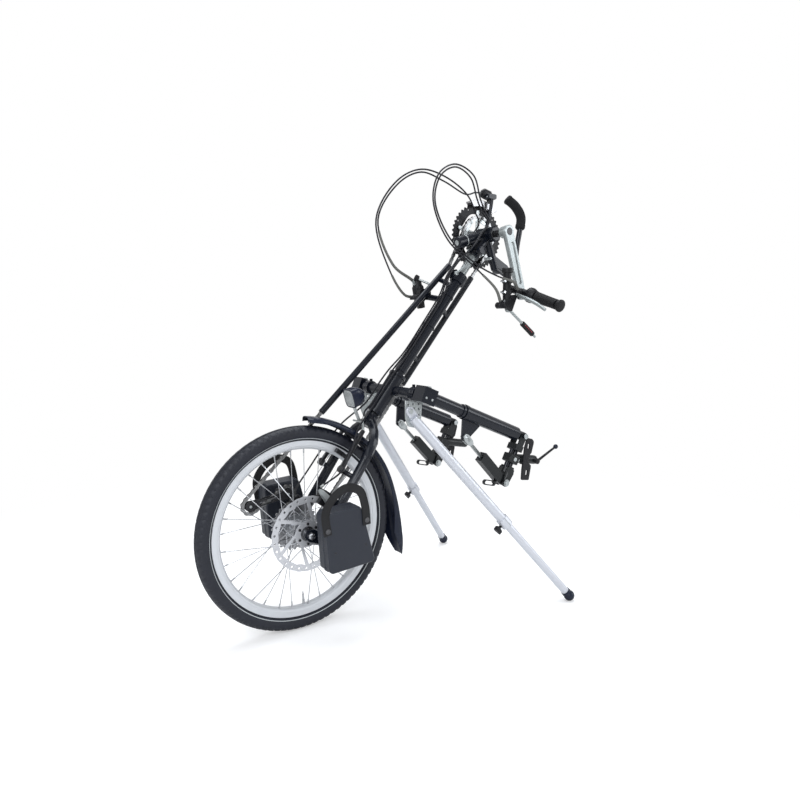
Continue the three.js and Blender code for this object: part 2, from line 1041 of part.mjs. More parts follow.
const legAtCaliper = fork.shoulderBack + (
  (fork.footBack - fork.shoulderBack) * (fork.shoulder - caliper.height - caliper.tall / 2)
) / (fork.shoulder - fork.foot);
const caliperRear = legAtCaliper - fork.leg;
const caliperTab = box(
  onColumn((caliperRear + legAtCaliper) / 2, -fork.spread + fork.leg * 0.35, caliper.height),
  [fork.leg, fork.leg * 1.6, caliper.tall * 0.8],
  [back, yAxis, up]
);
const hangerPlate = sidePlate(
  hull(fork.hanger, fork.hangerEnd, fork.hangerLong),
  fork.hangerThick,
  mech.hangerX,
  plateOut + fork.hangerOut,
  mech.hangerZ,
  [],
  rad(fork.hangerTurn)
);
const crown = rod(onColumn(0, 0, fork.crownLow), onColumn(0, 0, fork.crownTop), fork.crown, 10);
const steererTop = column.start - gap;
const steerer = rod(
  onColumn(0, 0, fork.crownTop - overrun),
  onColumn(0, 0, steererTop),
  fork.steerer,
  10
);
add(
  "fork",
  join([crown, steerer, ...forkLeg(leftSide), ...forkLeg(rightSide), caliperTab, hangerPlate]),
  0x1b1c1f,
  0.4,
  0.4
);

// Frame: a head tube on the steering axis, a cross tube through it and two beams with clamp blocks
const headTube = tube(
  onColumn(0, 0, steering.headLow),
  onColumn(0, 0, steering.headHigh),
  head.radius,
  head.bore,
  10
);
const headSpace = rod(
  onColumn(0, 0, steering.headLow - overrun),
  onColumn(0, 0, steering.headHigh + overrun),
  head.bore,
  10
);
const cups = [
  tube(
    onColumn(0, 0, steering.headLow),
    onColumn(0, 0, steering.headLow + head.cupHeight),
    head.cup,
    head.seat,
    10
  ),
  tube(
    onColumn(0, 0, steering.headHigh - head.cupHeight),
    onColumn(0, 0, steering.headHigh),
    head.cup,
    head.seat,
    10
  ),
];
const beamDirection = point(beam.rearX - crossTube.x, 0, beam.rearZ - crossTube.z).normalize();
const beamUp = point(-beamDirection.z, 0, beamDirection.x);
function onBeam(side, distance, rise = 0, y = beam.spread) {
  return stepTo(
    stepTo(point(crossTube.x, side * y, crossTube.z), beamDirection, distance),
    beamUp,
    rise
  );
}
const crossBar = rod(
  point(crossTube.x, -beam.spread, crossTube.z),
  point(crossTube.x, beam.spread, crossTube.z),
  crossTube.radius,
  10
);
const framePieces = [];
for (const side of [leftSide, rightSide]) {
  framePieces.push(
    box(onBeam(side, 0), [beam.blockLong, beam.block, beam.block], [beamDirection, yAxis, beamUp])
  );
  framePieces.push(rod(onBeam(side, 0), onBeam(side, beam.length), beam.radius, 10));
  framePieces.push(
    rod(onBeam(side, beam.length - beam.collarWidth), onBeam(side, beam.length), beam.collar, 10)
  );
}
const beamBores = [leftSide, rightSide].map(
  (side) => rod(onBeam(side, beam.start), onBeam(side, beam.length + overrun), beam.bore, 10)
);
const frameBody = cut(join([crossBar, ...framePieces]), [headSpace, ...beamBores]);
add("main_frame", join([frameBody.add(headTube), ...cups]), 0x1a1b1e, 0.4, 0.4);

// Stand: on each side a sleeve that turns on the cross tube, a perforated plate and a telescopic leg
function standPoint(side, share) {
  const top = point(stand.topX, side * stand.topY, stand.topZ);
  return along(top, point(stand.footX, side * stand.footY, stand.footZ), share);
}

function addStand(side, name) {
  const top = standPoint(side, 0);
  const foot = standPoint(side, 1);
  const legDirection = foot.clone().sub(top).normalize();
  const across = yAxis.clone().addScaledVector(legDirection, -legDirection.y).normalize();
  const sleeveY = side * (stand.topY - stand.sleeveLong / 2);
  const sleeveEnd = side * (stand.topY + stand.sleeveLong / 2 - stand.plate);
  const sleeve = tube(
    point(crossTube.x, sleeveY, crossTube.z),
    point(crossTube.x, sleeveEnd, crossTube.z),
    stand.sleeve,
    stand.sleeveBore,
    10
  );
  const bare = stand.plateWidth / 2;
  const outline = [
    [-bare * 0.7, -stand.plateLong],
    [bare * 0.5, -stand.plateLong - bare * 0.3],
    [bare * 0.9, -stand.plateLong * 0.7],
    [bare, 0],
    [-bare, 0],
    [-bare, -stand.plateLong * 0.7],
  ];
  const holes = [
    [-bare * 0.5, -stand.plateLong * 0.38, stand.plateHole],
    [bare * 0.5, -stand.plateLong * 0.38, stand.plateHole],
    [-bare * 0.55, -stand.plateLong * 0.56, stand.plateHole],
    [bare * 0.5, -stand.plateLong * 0.52, stand.plateHole],
  ];
  const plateY = side === leftSide ? side * stand.topY : side * stand.topY - stand.plate;
  const panel = sidePlate(
    outline,
    stand.plate,
    crossTube.x - bare * 0.2,
    plateY,
    crossTube.z - stand.sleeveBore,
    holes
  );
  const sleeveCut = rod(
    point(crossTube.x, sleeveY - side * overrun, crossTube.z),
    point(crossTube.x, sleeveEnd + side * overrun, crossTube.z),
    stand.sleeveBore,
    10
  );
  add(`stand_bracket_${name}`, join([sleeve, panel.subtract(sleeveCut)]), 0xc9ced0, 0.35, 0.9);
  const collarAt = standPoint(side, stand.collarShare);
  const flat = stepTo(top, legDirection, stand.upper);
  const upperLeg = rod(flat, collarAt, stand.upper, 8);
  const collar = rod(stepTo(collarAt, legDirection, -stand.collarWidth), collarAt, stand.collar, 8);
  const boreStart = stepTo(collarAt, legDirection, -stand.overlap - overrun);
  const bore = rod(boreStart, stepTo(collarAt, legDirection, overrun), stand.bore, 8);
  const screwAt = stepTo(collarAt, legDirection, -stand.collarWidth / 2);
  const screwOut = point(legDirection.z, 0, -legDirection.x).normalize();
  const screwHole = rod(
    screwAt,
    stepTo(screwAt, screwOut, stand.collar + overrun),
    stand.screw + 2 * gap,
    8
  );
  const tongueY = side === leftSide ? plateY - gap - stand.tongueThick : plateY + stand.plate + gap;
  const tongue = sidePlate(
    hull(stand.tongue, stand.tongue, stand.tongueLong),
    stand.tongueThick,
    top.x - stand.tongueBack,
    tongueY,
    top.z + stand.tongueRise,
    [[0, 0, stand.tongueBore, 8]],
    Math.atan2(legDirection.z, legDirection.x)
  );
  const plateSpace = box(
    point(top.x, side * (stand.topY + gap - stand.sleeveLong), top.z),
    [4 * stand.plateWidth, 2 * stand.sleeveLong, 4 * stand.plateLong]
  );
  add(
    `leg_upper_${name}`,
    cut(join([upperLeg, collar, tongue]), [bore, screwHole, plateSpace]),
    0xe4e6e8,
    0.35,
    0.6
  );
  const lower = rod(stepTo(collarAt, legDirection, -stand.overlap), foot, stand.lower, 8);
  add(`leg_lower_${name}`, lower.add(ball(foot, stand.ball, 8)), 0xdcdee0, 0.35, 0.6);
  const screwInner = stepTo(screwAt, screwOut, stand.lower + gap);
  const screwOuter = stepTo(screwAt, screwOut, stand.collar + stand.knobWidth / 2);
  const knobOuter = stepTo(screwOuter, screwOut, stand.knobWidth);
  const knob = rod(screwOuter, knobOuter, stand.knob, 8, stand.knob * 0.85);
  add(`leg_screw_${name}`, join([rod(screwInner, knobOuter, stand.screw, 8), knob]), 0x17181a, 0.6, 0);
}
addStand(leftSide, "left");
addStand(rightSide, "right");

// Docking units: a sliding tube in each beam, a hanging link with the frame clamp, and a locking strut
function dockPoint(side, x, y, z) {
  return point(x, side * y, z);
}

function addDock(side, name) {
  const length = point(beam.rearX, 0, beam.rearZ).distanceTo(point(crossTube.x, 0, crossTube.z));
  const inner = rod(
    onBeam(side, beam.length - dock.tubeInside),
    onBeam(side, length + dock.tube),
    dock.tube,
    10
  );
  const eye = dockPoint(side, dock.eyeX, dock.eyeY, dock.eyeZ);
  const bracketY = side * beam.spread;
  const bracketPlate = sidePlate(
    dockBracket,
    dock.bracket,
    dock.eyeX,
    bracketY - dock.bracket / 2,
    dock.eyeZ,
    [[0, 0, dock.pin + dock.bracketPlay, 8]]
  );
  const lowerTrim = rod(
    onBeam(side, beam.length - dock.tubeInside - overrun),
    onBeam(side, beam.length + gap),
    beam.radius * 2,
    8
  );
  const trimmedPlate = bracketPlate.subtract(lowerTrim);
  const hingeAt = onBeam(side, length, 0);
  const linkPin = rod(
    stepTo(hingeAt, yAxis, -(dock.tube + dock.link + dock.pinPast)),
    stepTo(hingeAt, yAxis, dock.tube + dock.link + dock.pinPast),
    dock.pin,
    8
  );
  add(`dock_tube_${name}`, join([inner, trimmedPlate, linkPin]), 0x1d1e22, 0.4, 0.4);

  // The link hangs from the tube's end: two cheeks, two round bars and a foot with the strut's pin
  const low = dockPoint(side, dock.lowX, beam.spread, dock.lowZ);
  const hang = low.clone().sub(hingeAt);
  const linkLength = hang.length();
  const linkDirection = hang.clone().normalize();
  const linkTurn = Math.atan2(linkDirection.z, linkDirection.x);
  const cheeks = [-1, 1].map((k) => {
    const inside = dock.tube + gap;
    const y = hingeAt.y + (k > 0 ? inside : -inside - dock.link / 2);
    const outline = hull(dock.cheek, dock.cheekEnd, dock.cheekLong);
    const holes = [[0, 0, dock.pin + 2 * gap, 8]];
    return sidePlate(outline, dock.link / 2, hingeAt.x, y, hingeAt.z, holes, linkTurn);
  });
  const cheekEnd = stepTo(hingeAt, linkDirection, dock.bridgeAt);
  const linkSide = point(-linkDirection.z, 0, linkDirection.x);
  const linkFrame = [linkDirection, yAxis, linkDirection.clone().cross(yAxis)];
  const bridgeWide = 2 * (dock.tube + gap) + dock.link;
  const bridge = box(cheekEnd, [dock.bridgeLong, bridgeWide, dock.bridgeDeep], linkFrame);
  const footAt = stepTo(hingeAt, linkDirection, linkLength - dock.footBack);
  const bars = [-1, 1].map((k) => {
    const offset = k * dock.barOffset;
    return rod(stepTo(cheekEnd, linkSide, offset), stepTo(footAt, linkSide, offset), dock.bar, 8);
  });
  const footBlock = box(footAt, dock.footBlock, linkFrame);
  const ears = [-1, 1].map((k) => {
    const inside = dock.boxWidth / 2 + gap;
    const y = hingeAt.y + (k > 0 ? inside : -inside - dock.earThick);
    const outline = hull(dock.ear, dock.earEnd, dock.earLong);
    return sidePlate(outline, dock.earThick, footAt.x, y, footAt.z, [], linkTurn);
  });
  const earBaseWide = dock.boxWidth + 2 * dock.earThick + 2 * gap;
  const earBase = box(footAt, [dock.footBlock[0], earBaseWide, dock.bridgeDeep], linkFrame);
  const lowPin = rod(
    stepTo(low, yAxis, -dock.boxWidth / 2 - 2 * dock.earThick),
    stepTo(low, yAxis, dock.boxWidth / 2 + 2 * dock.earThick),
    dock.pin,
    8
  );
  add(
    `dock_link_${name}`,
    join([...cheeks, bridge, ...bars, footBlock, earBase, ...ears, lowPin]),
    0x2a2e2c,
    0.45,
    0.5
  );

  // Strut: a box body with a release loop, and a rod with an eye that slides in it
  const eyeAt = point(eye.x, bracketY, eye.z);
  const strutDirection = eyeAt.clone().sub(low).normalize();
  const strutLength = eyeAt.distanceTo(low);
  const strutAcross = strutDirection.clone().cross(yAxis);
  const bodyLong = strutLength * (dock.boxEndShare - dock.boxStartShare);
  const bodyMiddle = stepTo(low, strutDirection, strutLength * (1 - dock.boxEndShare) + bodyLong / 2);
  const strutBody = box(
    bodyMiddle,
    [bodyLong, dock.boxWidth, dock.boxDepth],
    [strutDirection, yAxis, strutAcross]
  );
  const tail = sidePlate(
    hull(dock.tail, dock.tail, dock.tailLong),
    dock.tailThick,
    low.x,
    low.y - dock.tailThick / 2,
    low.z,
    [[0, 0, dock.pin + 2 * gap, 8]],
    Math.atan2(strutDirection.z, strutDirection.x)
  );
  const bodyTop = stepTo(low, strutDirection, strutLength * (1 - dock.boxStartShare));
  const rodHole = rod(
    stepTo(bodyMiddle, strutDirection, -bodyLong * dock.boreShare),
    stepTo(bodyTop, strutDirection, overrun),
    dock.rodRadius + gap,
    8
  );
  const loopCentre = point(low.x - dock.loopBack, low.y, low.z + dock.loopRise);
  const loopPlate = (long, wide, half) =>
    sidePlate(
      slotOutline(long, wide),
      2 * half,
      loopCentre.x,
      loopCentre.y - half,
      loopCentre.z,
      [],
      rad(dock.loopTurn)
    );
  const loop = loopPlate(dock.loopLong, dock.loopWide, dock.loopThick / 2).subtract(
    loopPlate(dock.loopHoleLong, dock.loopHoleWide, dock.loopThick / 2 + overrun)
  );
  const loopArmEnd = point(low.x - dock.loopArmEnd, low.y, low.z + dock.loopArmRise);
  const loopArm = rod(stepTo(loopCentre, xAxis, dock.loopArmStart), loopArmEnd, dock.loopArm, 8);
  const pinHole = rod(
    stepTo(low, yAxis, -dock.tailBoreBack),
    stepTo(low, yAxis, dock.tailBoreFront),
    dock.pin + 2 * gap,
    8
  );
  add(
    `strut_body_${name}`,
    cut(join([strutBody, tail, loop, loopArm]), [rodHole, pinHole]),
    0x24272a,
    0.45,
    0.5
  );
  const rodStart = stepTo(bodyMiddle, strutDirection, -bodyLong * dock.rodStartShare);
  const rodEnd = stepTo(eyeAt, strutDirection, -dock.yokeBack);
  const strutTurn = Math.atan2(-strutDirection.z, -strutDirection.x);
  const eyeSides = [-1, 1].map((k) => {
    const inside = dock.bracket / 2 + gap;
    const y = bracketY + (k > 0 ? inside : -inside - dock.eyeThick);
    const outline = hull(dock.eye, dock.eyeEnd, dock.eyeLong);
    return sidePlate(outline, dock.eyeThick, eye.x, y, eye.z, [], strutTurn);
  });
  const yokeWide = dock.bracket + 2 * dock.eyeThick + 2 * gap;
  const yoke = box(
    rodEnd,
    [dock.yokeLong, yokeWide, dock.yokeDeep],
    [strutDirection, yAxis, strutAcross]
  );
  const eyePinHalf = dock.bracket + dock.eyePin;
  const eyePin = rod(stepTo(eyeAt, yAxis, -eyePinHalf), stepTo(eyeAt, yAxis, eyePinHalf), dock.pin, 8);
  const yokeHalf = dock.bracket / 2 + gap;
  const yokeCut = rod(stepTo(eyeAt, yAxis, -yokeHalf), stepTo(eyeAt, yAxis, yokeHalf), dock.eyeRoom, 8);
  const slidingRod = rod(rodStart, rodEnd, dock.rodRadius, 8);
  add(
    `strut_rod_${name}`,
    join([slidingRod, yoke.subtract(yokeCut), ...eyeSides, eyePin]),
    0xc4c7ca,
    0.3,
    0.9
  );

  // Clamp: a block on the link's bars, a cross cylinder and the channel for the chair's frame tube
  const clampAt = stepTo(hingeAt, linkDirection, linkLength * 0.5);
  const clampSpaceY = clampAt.y;
  const barHoles = [-1, 1].map((k) => {
    const middle = stepTo(clampAt, linkSide, k * dock.barOffset);
    const start = stepTo(middle, linkDirection, -dock.barHole);
    return rod(start, stepTo(middle, linkDirection, dock.barHole), dock.bar + gap, 8);
  });
  const clampBlock = box(clampAt, dock.clampBlock, linkFrame);
  const clampEnd = point(clampAt.x + dock.clampLong, clampSpaceY, clampAt.z - dock.clampDrop);
  const barrel = rod(stepTo(clampAt, xAxis, dock.barrelStart), clampEnd, dock.clampRadius, 8);
  const channel = sidePlate(
    chairChannel,
    dock.padThick,
    clampAt.x + dock.padBack + dock.channelBack,
    clampSpaceY + side * dock.channelSide - dock.padThick / 2,
    clampAt.z - dock.channelDrop,
    [],
    rad(dock.channelTurn)
  );
  const channelArmY = clampSpaceY + side * dock.channelArmSide;
  const channelArm = box(
    point(clampAt.x + dock.padBack, channelArmY, clampAt.z - dock.channelArmDrop),
    dock.channelArm
  );
  const leverSeat = stepTo(clampEnd, xAxis, -dock.leverBack);
  const boreHalf = dock.clampRadius + overrun;
  const leverBore = rod(
    stepTo(leverSeat, yAxis, -boreHalf),
    stepTo(leverSeat, yAxis, boreHalf),
    dock.lever + 2 * gap,
    8
  );
  add(
    `frame_clamp_${name}`,
    cut(join([clampBlock, barrel, channelArm, channel]), [...barHoles, leverBore]),
    0x26302b,
    0.5,
    0.4
  );
  const leverOut = stepTo(leverSeat, yAxis, side * (dock.clampRadius + dock.leverHubOut));
  const leverIn = stepTo(leverSeat, yAxis, -side * dock.clampRadius);
  const leverHub = rod(
    stepTo(leverSeat, yAxis, side * (dock.clampRadius + gap)),
    leverOut,
    dock.leverHub,
    8
  );
  const leverMiddle = stepTo(leverSeat, yAxis, side * (dock.clampRadius + dock.leverMiddle));
  const leverTip = point(
    leverMiddle.x + dock.leverLong,
    leverMiddle.y + side * dock.leverSide,
    leverMiddle.z + dock.leverRise
  );
  add(
    `clamp_lever_${name}`,
    join([
      rod(leverIn, leverOut, dock.lever, 8),
      leverHub,
      rod(leverMiddle, leverTip, dock.leverRod, 6, dock.leverRodEnd),
      ball(leverTip, dock.leverBall, 8),
    ]),
    0x202124,
    0.4,
    0.5
  );
}
addDock(leftSide, "left");
addDock(rightSide, "right");

// Steering column: outer tube with rings and a top clamp, on the steerer; the neck slides in it
const columnAxis = (from, to, radius, sides = 10) => rod(
  onColumn(0, 0, from),
  onColumn(0, 0, to),
  radius,
  sides
);
const clampTop = column.end + column.clampWidth;
const columnPieces = [
  columnAxis(column.start, clampTop, column.outer),
  columnAxis(column.end, clampTop, column.clamp),
  ...column.ringHeights.map((height) => columnAxis(height, height + column.ringWidth, column.ring)),
  box(onColumn(-column.clamp, 0, column.end + column.clampWidth / 2), column.lug, [back, yAxis, up]),
];
const chainY = cassette.start + cassette.chainOn * cassette.step + cassette.plate / 2;
const screwSeat = onColumn(-column.clamp - column.screwBack, 0, column.end + column.clampWidth / 2);
const leverHole = rod(
  stepTo(screwSeat, yAxis, -column.screwRoom),
  stepTo(screwSeat, yAxis, column.screwRoom),
  column.screwBore,
  10
);
// Chain route in the wheel's plane: arcs round the rings and pulleys joined by tangent lines
const crankAt = onColumn(0, 0, steering.crank);
const circles = [
  { x: crankAt.x, z: crankAt.z, r: pitchRadius(crankset.smallRing), turn: 1 },
  { x: guard.highX, z: guard.highZ, r: 0, turn: 1 },
  { x: guard.lowX, z: guard.lowZ, r: 0, turn: 1 },
  { x: pulley.tensionX, z: pulley.tensionZ, r: pitchRadius(pulley.teeth), turn: 1 },
  { x: pulley.guideX, z: pulley.guideZ, r: pitchRadius(pulley.teeth), turn: -1 },
  { x: hubCentre.x, z: hubCentre.z, r: pitchRadius(cassette.teeth[cassette.chainOn]), turn: 1 },
];

function tangent(a, b) {
  const [dx, dz] = [b.x - a.x, b.z - a.z];
  const k = b.turn * b.r - a.turn * a.r;
  const span = dx * dx + dz * dz;
  const length = Math.sqrt(span - k * k);
  const ux = (dx * length + dz * k) / span;
  const uz = (dz * length - dx * k) / span;
  const leave = [a.x + a.turn * a.r * uz, a.z - a.turn * a.r * ux];
  const arrive = [b.x + b.turn * b.r * uz, b.z - b.turn * b.r * ux];
  return { leave, arrive, length, ux, uz };
}

const runs = circles.map((circle, index) => tangent(circle, circles[(index + 1) % circles.length]));

// A point on the chain's line, with the direction that points out of the loop
function chainPoint(circle, angle) {
  const out = [Math.cos(angle), Math.sin(angle)];
  return [
    circle.x + circle.r * out[0],
    circle.z + circle.r * out[1],
    circle.turn * out[0],
    circle.turn * out[1],
  ];
}

const chainLine = [];
for (let i = 0; i < circles.length; i += 1) {
  const circle = circles[i];
  const arriving = runs[(i + circles.length - 1) % circles.length];
  const first = Math.atan2(-arriving.ux, arriving.uz) + (circle.turn < 0 ? Math.PI : 0);
  const last = Math.atan2(-runs[i].ux, runs[i].uz) + (circle.turn < 0 ? Math.PI : 0);
  let sweepAngle = last - first;
  const whole = 2 * Math.PI;
  sweepAngle -= whole * Math.floor(sweepAngle / whole);
  if (circle.turn < 0) sweepAngle -= whole;
  if (circle.r === 0) {
    chainLine.push(
      chainPoint(circle, first + (sweepAngle > Math.PI ? sweepAngle - whole : sweepAngle) / 2)
    );
    continue;
  }
  const steps = Math.max(3, Math.ceil((Math.abs(sweepAngle) * circle.r) / chainPitch / 1.4));
  for (let k = 0; k <= steps; k += 1) chainLine.push(
    chainPoint(circle, first + (sweepAngle * k) / steps)
  );
}

function chainSide(y, thickness) {
  const edge = (offset) => chainLine.map(
    ([x, z, outX, outZ]) => [x + offset * outX, z + offset * outZ]
  );
  const outer = sidePlate(edge(link.half), thickness, 0, y, 0);
  return outer.subtract(sidePlate(edge(-link.half), thickness + 2 * overrun, 0, y - overrun, 0));
}

const chainCores = runs.map((run) => {
  const direction = point(run.ux, 0, run.uz);
  const middle = point((run.leave[0] + run.arrive[0]) / 2, chainY, (run.leave[1] + run.arrive[1]) / 2);
  const size = [run.length - 3.9 * chainPitch, 2 * link.inside + link.side, 2 * link.core];
  return box(middle, size, [direction, yAxis, direction.clone().cross(yAxis)]);
});
add(
  "chain",
  join([
    chainSide(chainY + link.inside, link.side),
    chainSide(chainY - link.inside - link.side, link.side),
    ...chainCores.filter((core, index) => runs[index].length > 5 * chainPitch),
  ]),
  0x8b8f94,
  0.35,
  1
);

// Guard tubes: the rear one is clipped to the column, the front one is a piece of its own
const rearRun = runs[runs.length - 1];
const rearDirection = point(rearRun.ux, 0, rearRun.uz);
const rearStart = point(rearRun.leave[0], chainY, rearRun.leave[1]);
function onRearRun(height) {
  const from = rearStart.clone().sub(axisBase).dot(up);
  return stepTo(rearStart, rearDirection, (height - from) / rearDirection.dot(up));
}
const rearTube = rod(onRearRun(guard.rearLow), onRearRun(guard.rearHigh), guard.radius, 10);
const rearBore = rod(
  onRearRun(guard.rearLow - overrun),
  onRearRun(guard.rearHigh + overrun),
  guard.bore,
  10
);
const rearClips = guard.clipShares.map((share) => {
  const height = guard.rearLow + share * (guard.rearHigh - guard.rearLow);
  return rod(onColumn(0, 0, height), onRearRun(height), guard.bore, 10);
});
const frontLow = point(guard.lowX, chainY, guard.lowZ);
const frontHigh = point(guard.highX, chainY, guard.highZ);
const frontDirection = frontHigh.clone().sub(frontLow).normalize();
const clipHeight = column.end - column.clampWidth / 2;
const frontSpace = rod(
  stepTo(frontLow, frontDirection, -overrun),
  stepTo(frontHigh, frontDirection, overrun),
  guard.radius + gap,
  10
);
const frontShare = (clipHeight - frontLow.clone().sub(axisBase).dot(up)) / (
  frontDirection.dot(up) * frontLow.distanceTo(frontHigh)
);
const frontClip = rod(
  onColumn(0, 0, clipHeight),
  along(frontLow, frontHigh, frontShare),
  guard.bore,
  10
);
const drumLow = point(shifter.lowX, shifter.y, shifter.lowZ);
const drumHigh = point(shifter.highX, shifter.y, shifter.highZ);
const stubEnd = stepTo(along(drumLow, drumHigh, shifter.stubShare), yAxis, -shifter.radius - 8 * gap);
const shifterStub = rod(onColumn(0, 0, shifter.stubHeight), stubEnd, shifter.stub, 8);
add(
  "steering_column",
  cut(join([...columnPieces, ...rearClips, frontClip, rearTube, shifterStub]), [
    columnAxis(column.start - overrun, column.start, fork.steerer),
    columnAxis(neck.start - neck.room, clampTop + overrun, column.bore, 10),
    rearBore,
    frontSpace,
    leverHole,
  ]),
  0x1c1d20,
  0.4,
  0.4
);
add("chain_guard_tube", tube(frontLow, frontHigh, guard.radius, guard.bore, 10), 0x17181a, 0.5, 0);
add("column_neck", columnAxis(neck.start, neck.end, neck.radius, 10), 0xd2d5d8, 0.25, 0.9);

const quickTip = onColumn(
  -column.clamp / 2,
  -column.clamp - gap - 2 * lever.radius,
  clampTop + column.clamp * 2
);
const quickHub = stepTo(screwSeat, yAxis, -column.clamp + lever.radius);
add(
  "column_lever",
  join([
    rod(stepTo(screwSeat, yAxis, column.outer), quickHub, lever.pin, 8),
    rod(
      stepTo(screwSeat, yAxis, column.outer - lever.radius + gap),
      stepTo(screwSeat, yAxis, column.outer),
      lever.radius * 1.4,
      6
    ),
    rod(stepTo(screwSeat, yAxis, -column.outer + lever.radius - gap), quickHub, lever.radius * 1.4, 10),
    rod(stepTo(quickHub, yAxis, lever.radius / 2), quickTip, lever.radius * 0.8, 8),
  ]),
  0xcfd2d5,
  0.3,
  0.9
);

// Crank unit: shell, socket round the neck, boom, post and the front derailleur's arm
const shellLeft = stepTo(crankAt, yAxis, -crankset.shellLeft);
const shellRight = stepTo(crankAt, yAxis, crankset.shellRight);
const boomEnd = point(crankset.boomX, 0, crankset.boomZ);
const postTop = along(crankAt, point(crankset.postX, 0, crankset.postZ), 0.1);
const postLow = point(crankset.postX, 0, crankset.postZ);
const knobHeight = crankset.socketLow + crankset.post;
const knobSeat = onColumn(-crankset.post * 0.8, 0, knobHeight);
const knobAt = onColumn(-crankset.post * 0.8, -crankset.shell * 2.2, knobHeight);
const mechOuter = pitchRadius(crankset.bigRing) + frontMech.clear;
const mechInner = mechOuter - frontMech.band;
const mechX = crankAt.x + frontMech.behind;
const mechZ = crankAt.z + mechOuter + frontMech.above;
const mechArm = box(
  point(
    mechX,
    frontMech.y - frontMech.pin - frontMech.arm / 2,
    (crankAt.z + mechZ + frontMech.barrel) / 2
  ),
  [frontMech.width, frontMech.arm, mechZ + frontMech.barrel - crankAt.z]
);
const mechRails = [-1, 1].map((k) =>
  box(point(
    mechX + (k * (frontMech.width - frontMech.rail)) / 2,
    frontMech.y - frontMech.pin / 2,
    mechZ
  ), [
    frontMech.rail,
    2 * frontMech.pin + frontMech.rail,
    2 * frontMech.barrel,
  ])
);
const mechWindow = box(point(mechX, frontMech.y - frontMech.barrel, mechZ), [
  frontMech.width - 2 * frontMech.rail,
  2 * frontMech.barrel,
  2 * frontMech.barrel + frontMech.windowRoom,
]);
const alongX = (y, z, from, to, radius, sides) => rod(
  point(from, y, z),
  point(to, y, z),
  radius,
  sides
);
const mechHalf = frontMech.width / 2;
const mechPinHalf = mechHalf - frontMech.pinInset;
const mechPin = alongX(
  frontMech.y,
  mechZ,
  mechX - mechPinHalf,
  mechX + mechPinHalf,
  frontMech.pin,
  10
);
add(
  "crank_housing",
  cut(
    join([
      rod(shellLeft, shellRight, crankset.shell, 12),
      columnAxis(crankset.socketLow, steering.crank, crankset.socket, 12),
      rod(crankAt, boomEnd, crankset.boomRadius, 10),
      rod(postTop, postLow, crankset.post, 10),
      rod(knobSeat, along(knobSeat, knobAt, 0.75), crankset.post / 2, 8),
      rod(along(knobSeat, knobAt, 0.72), knobAt, crankset.post * 1.1, 10),
      mechArm.subtract(mechWindow),
      ...mechRails,
      mechPin,
    ]),
    [
      rod(stepTo(shellLeft, yAxis, -overrun), stepTo(shellRight, yAxis, overrun), crankset.bore, 12),
      columnAxis(crankset.socketLow - overrun, neck.end + gap, neck.radius + gap, 10),
    ]
  ),
  0x1b1c1f,
  0.35,
  0.4
);

// Chainset: two rings on a five-armed spider round the spindle
const bigRingY = chainY + crankset.ringGap;
const half = crankset.ringThick / 2;
const bigPitch = pitchRadius(crankset.bigRing);
const spiderArms = [];
for (let i = 0; i < 5; i += 1) {
  const angle = (2 * Math.PI * i) / 5 + rad(18);
  const arm = hull(crankset.spider, crankset.bossRadius * 1.6, bigPitch * 0.86, 1);
  spiderArms.push(
    sidePlate(
      arm,
      crankset.ringGap / 2,
      crankAt.x,
      bigRingY - half - crankset.ringGap / 3,
      crankAt.z,
      [],
      angle
    )
  );
  const seat = point(Math.cos(angle), 0, Math.sin(angle)).multiplyScalar(bigPitch * 0.5).add(crankAt);
  spiderArms.push(
    rod(stepTo(seat, yAxis, chainY), stepTo(seat, yAxis, bigRingY), crankset.bossRadius, 6)
  );
}
const smallPitch = pitchRadius(crankset.smallRing);
add(
  "chainset",
  cut(
    join([
      sprocket(
        crankset.smallRing,
        crankset.ringThick,
        crankAt.x,
        chainY - half,
        crankAt.z,
        [[0, 0, smallPitch * 0.74, 12]]
      ),
      sprocket(
        crankset.bigRing,
        crankset.ringThick,
        crankAt.x,
        bigRingY - half,
        crankAt.z,
        [[0, 0, bigPitch * 0.78, 16]]
      ),
      ...spiderArms,
      rod(
        stepTo(crankAt, yAxis, chainY),
        stepTo(crankAt, yAxis, crankset.armSpread - crankset.spider),
        crankset.spider,
        10
      ),
    ]),
    [rod(crankAt, stepTo(crankAt, yAxis, crankset.armSpread), crankset.spindle + gap, 12)]
  ),
  0x2c2e31,
  0.35,
  0.7
);

// Crank arms with their pedal axles; the spindle is one piece with the right arm
function pedalPoint(angle, y) {
  return point(
    crankAt.x + crankset.arm * Math.cos(rad(angle)),
    y,
    crankAt.z + crankset.arm * Math.sin(rad(angle))
  );
}
function crankArm(side, angle) {
  const y = side === leftSide ? -crankset.armSpread - crankset.armThick : crankset.armSpread;
  const outline = hull(crankset.armWide, crankset.armNarrow, crankset.arm, 6);
  const arm = sidePlate(outline, crankset.armThick, crankAt.x, y, crankAt.z, [], rad(angle));
  const from = side * (crankset.armSpread + crankset.armThick / 2);
  return arm.add(
    rod(pedalPoint(angle, from), pedalPoint(angle, side * (handle.outer - gap * 4)), crankset.pedal, 10)
  );
}
const spindleHole = rod(
  stepTo(crankAt, yAxis, -crankset.armSpread - crankset.armThick + crankset.spindleCover),
  crankAt,
  crankset.spindle + gap,
  12
);
add("crank_left", crankArm(leftSide, crankset.leftAngle).subtract(spindleHole), 0x1a1b1d, 0.3, 0.5);
add(
  "crank_right",
  crankArm(rightSide, crankset.rightAngle).add(
    rod(
      stepTo(crankAt, yAxis, -crankset.armSpread - crankset.armThick / 2),
      stepTo(crankAt, yAxis, crankset.armSpread + crankset.spindleInset),
      crankset.spindle,
      12
    )
  ),
  0x1a1b1d,
  0.3,
  0.5
);

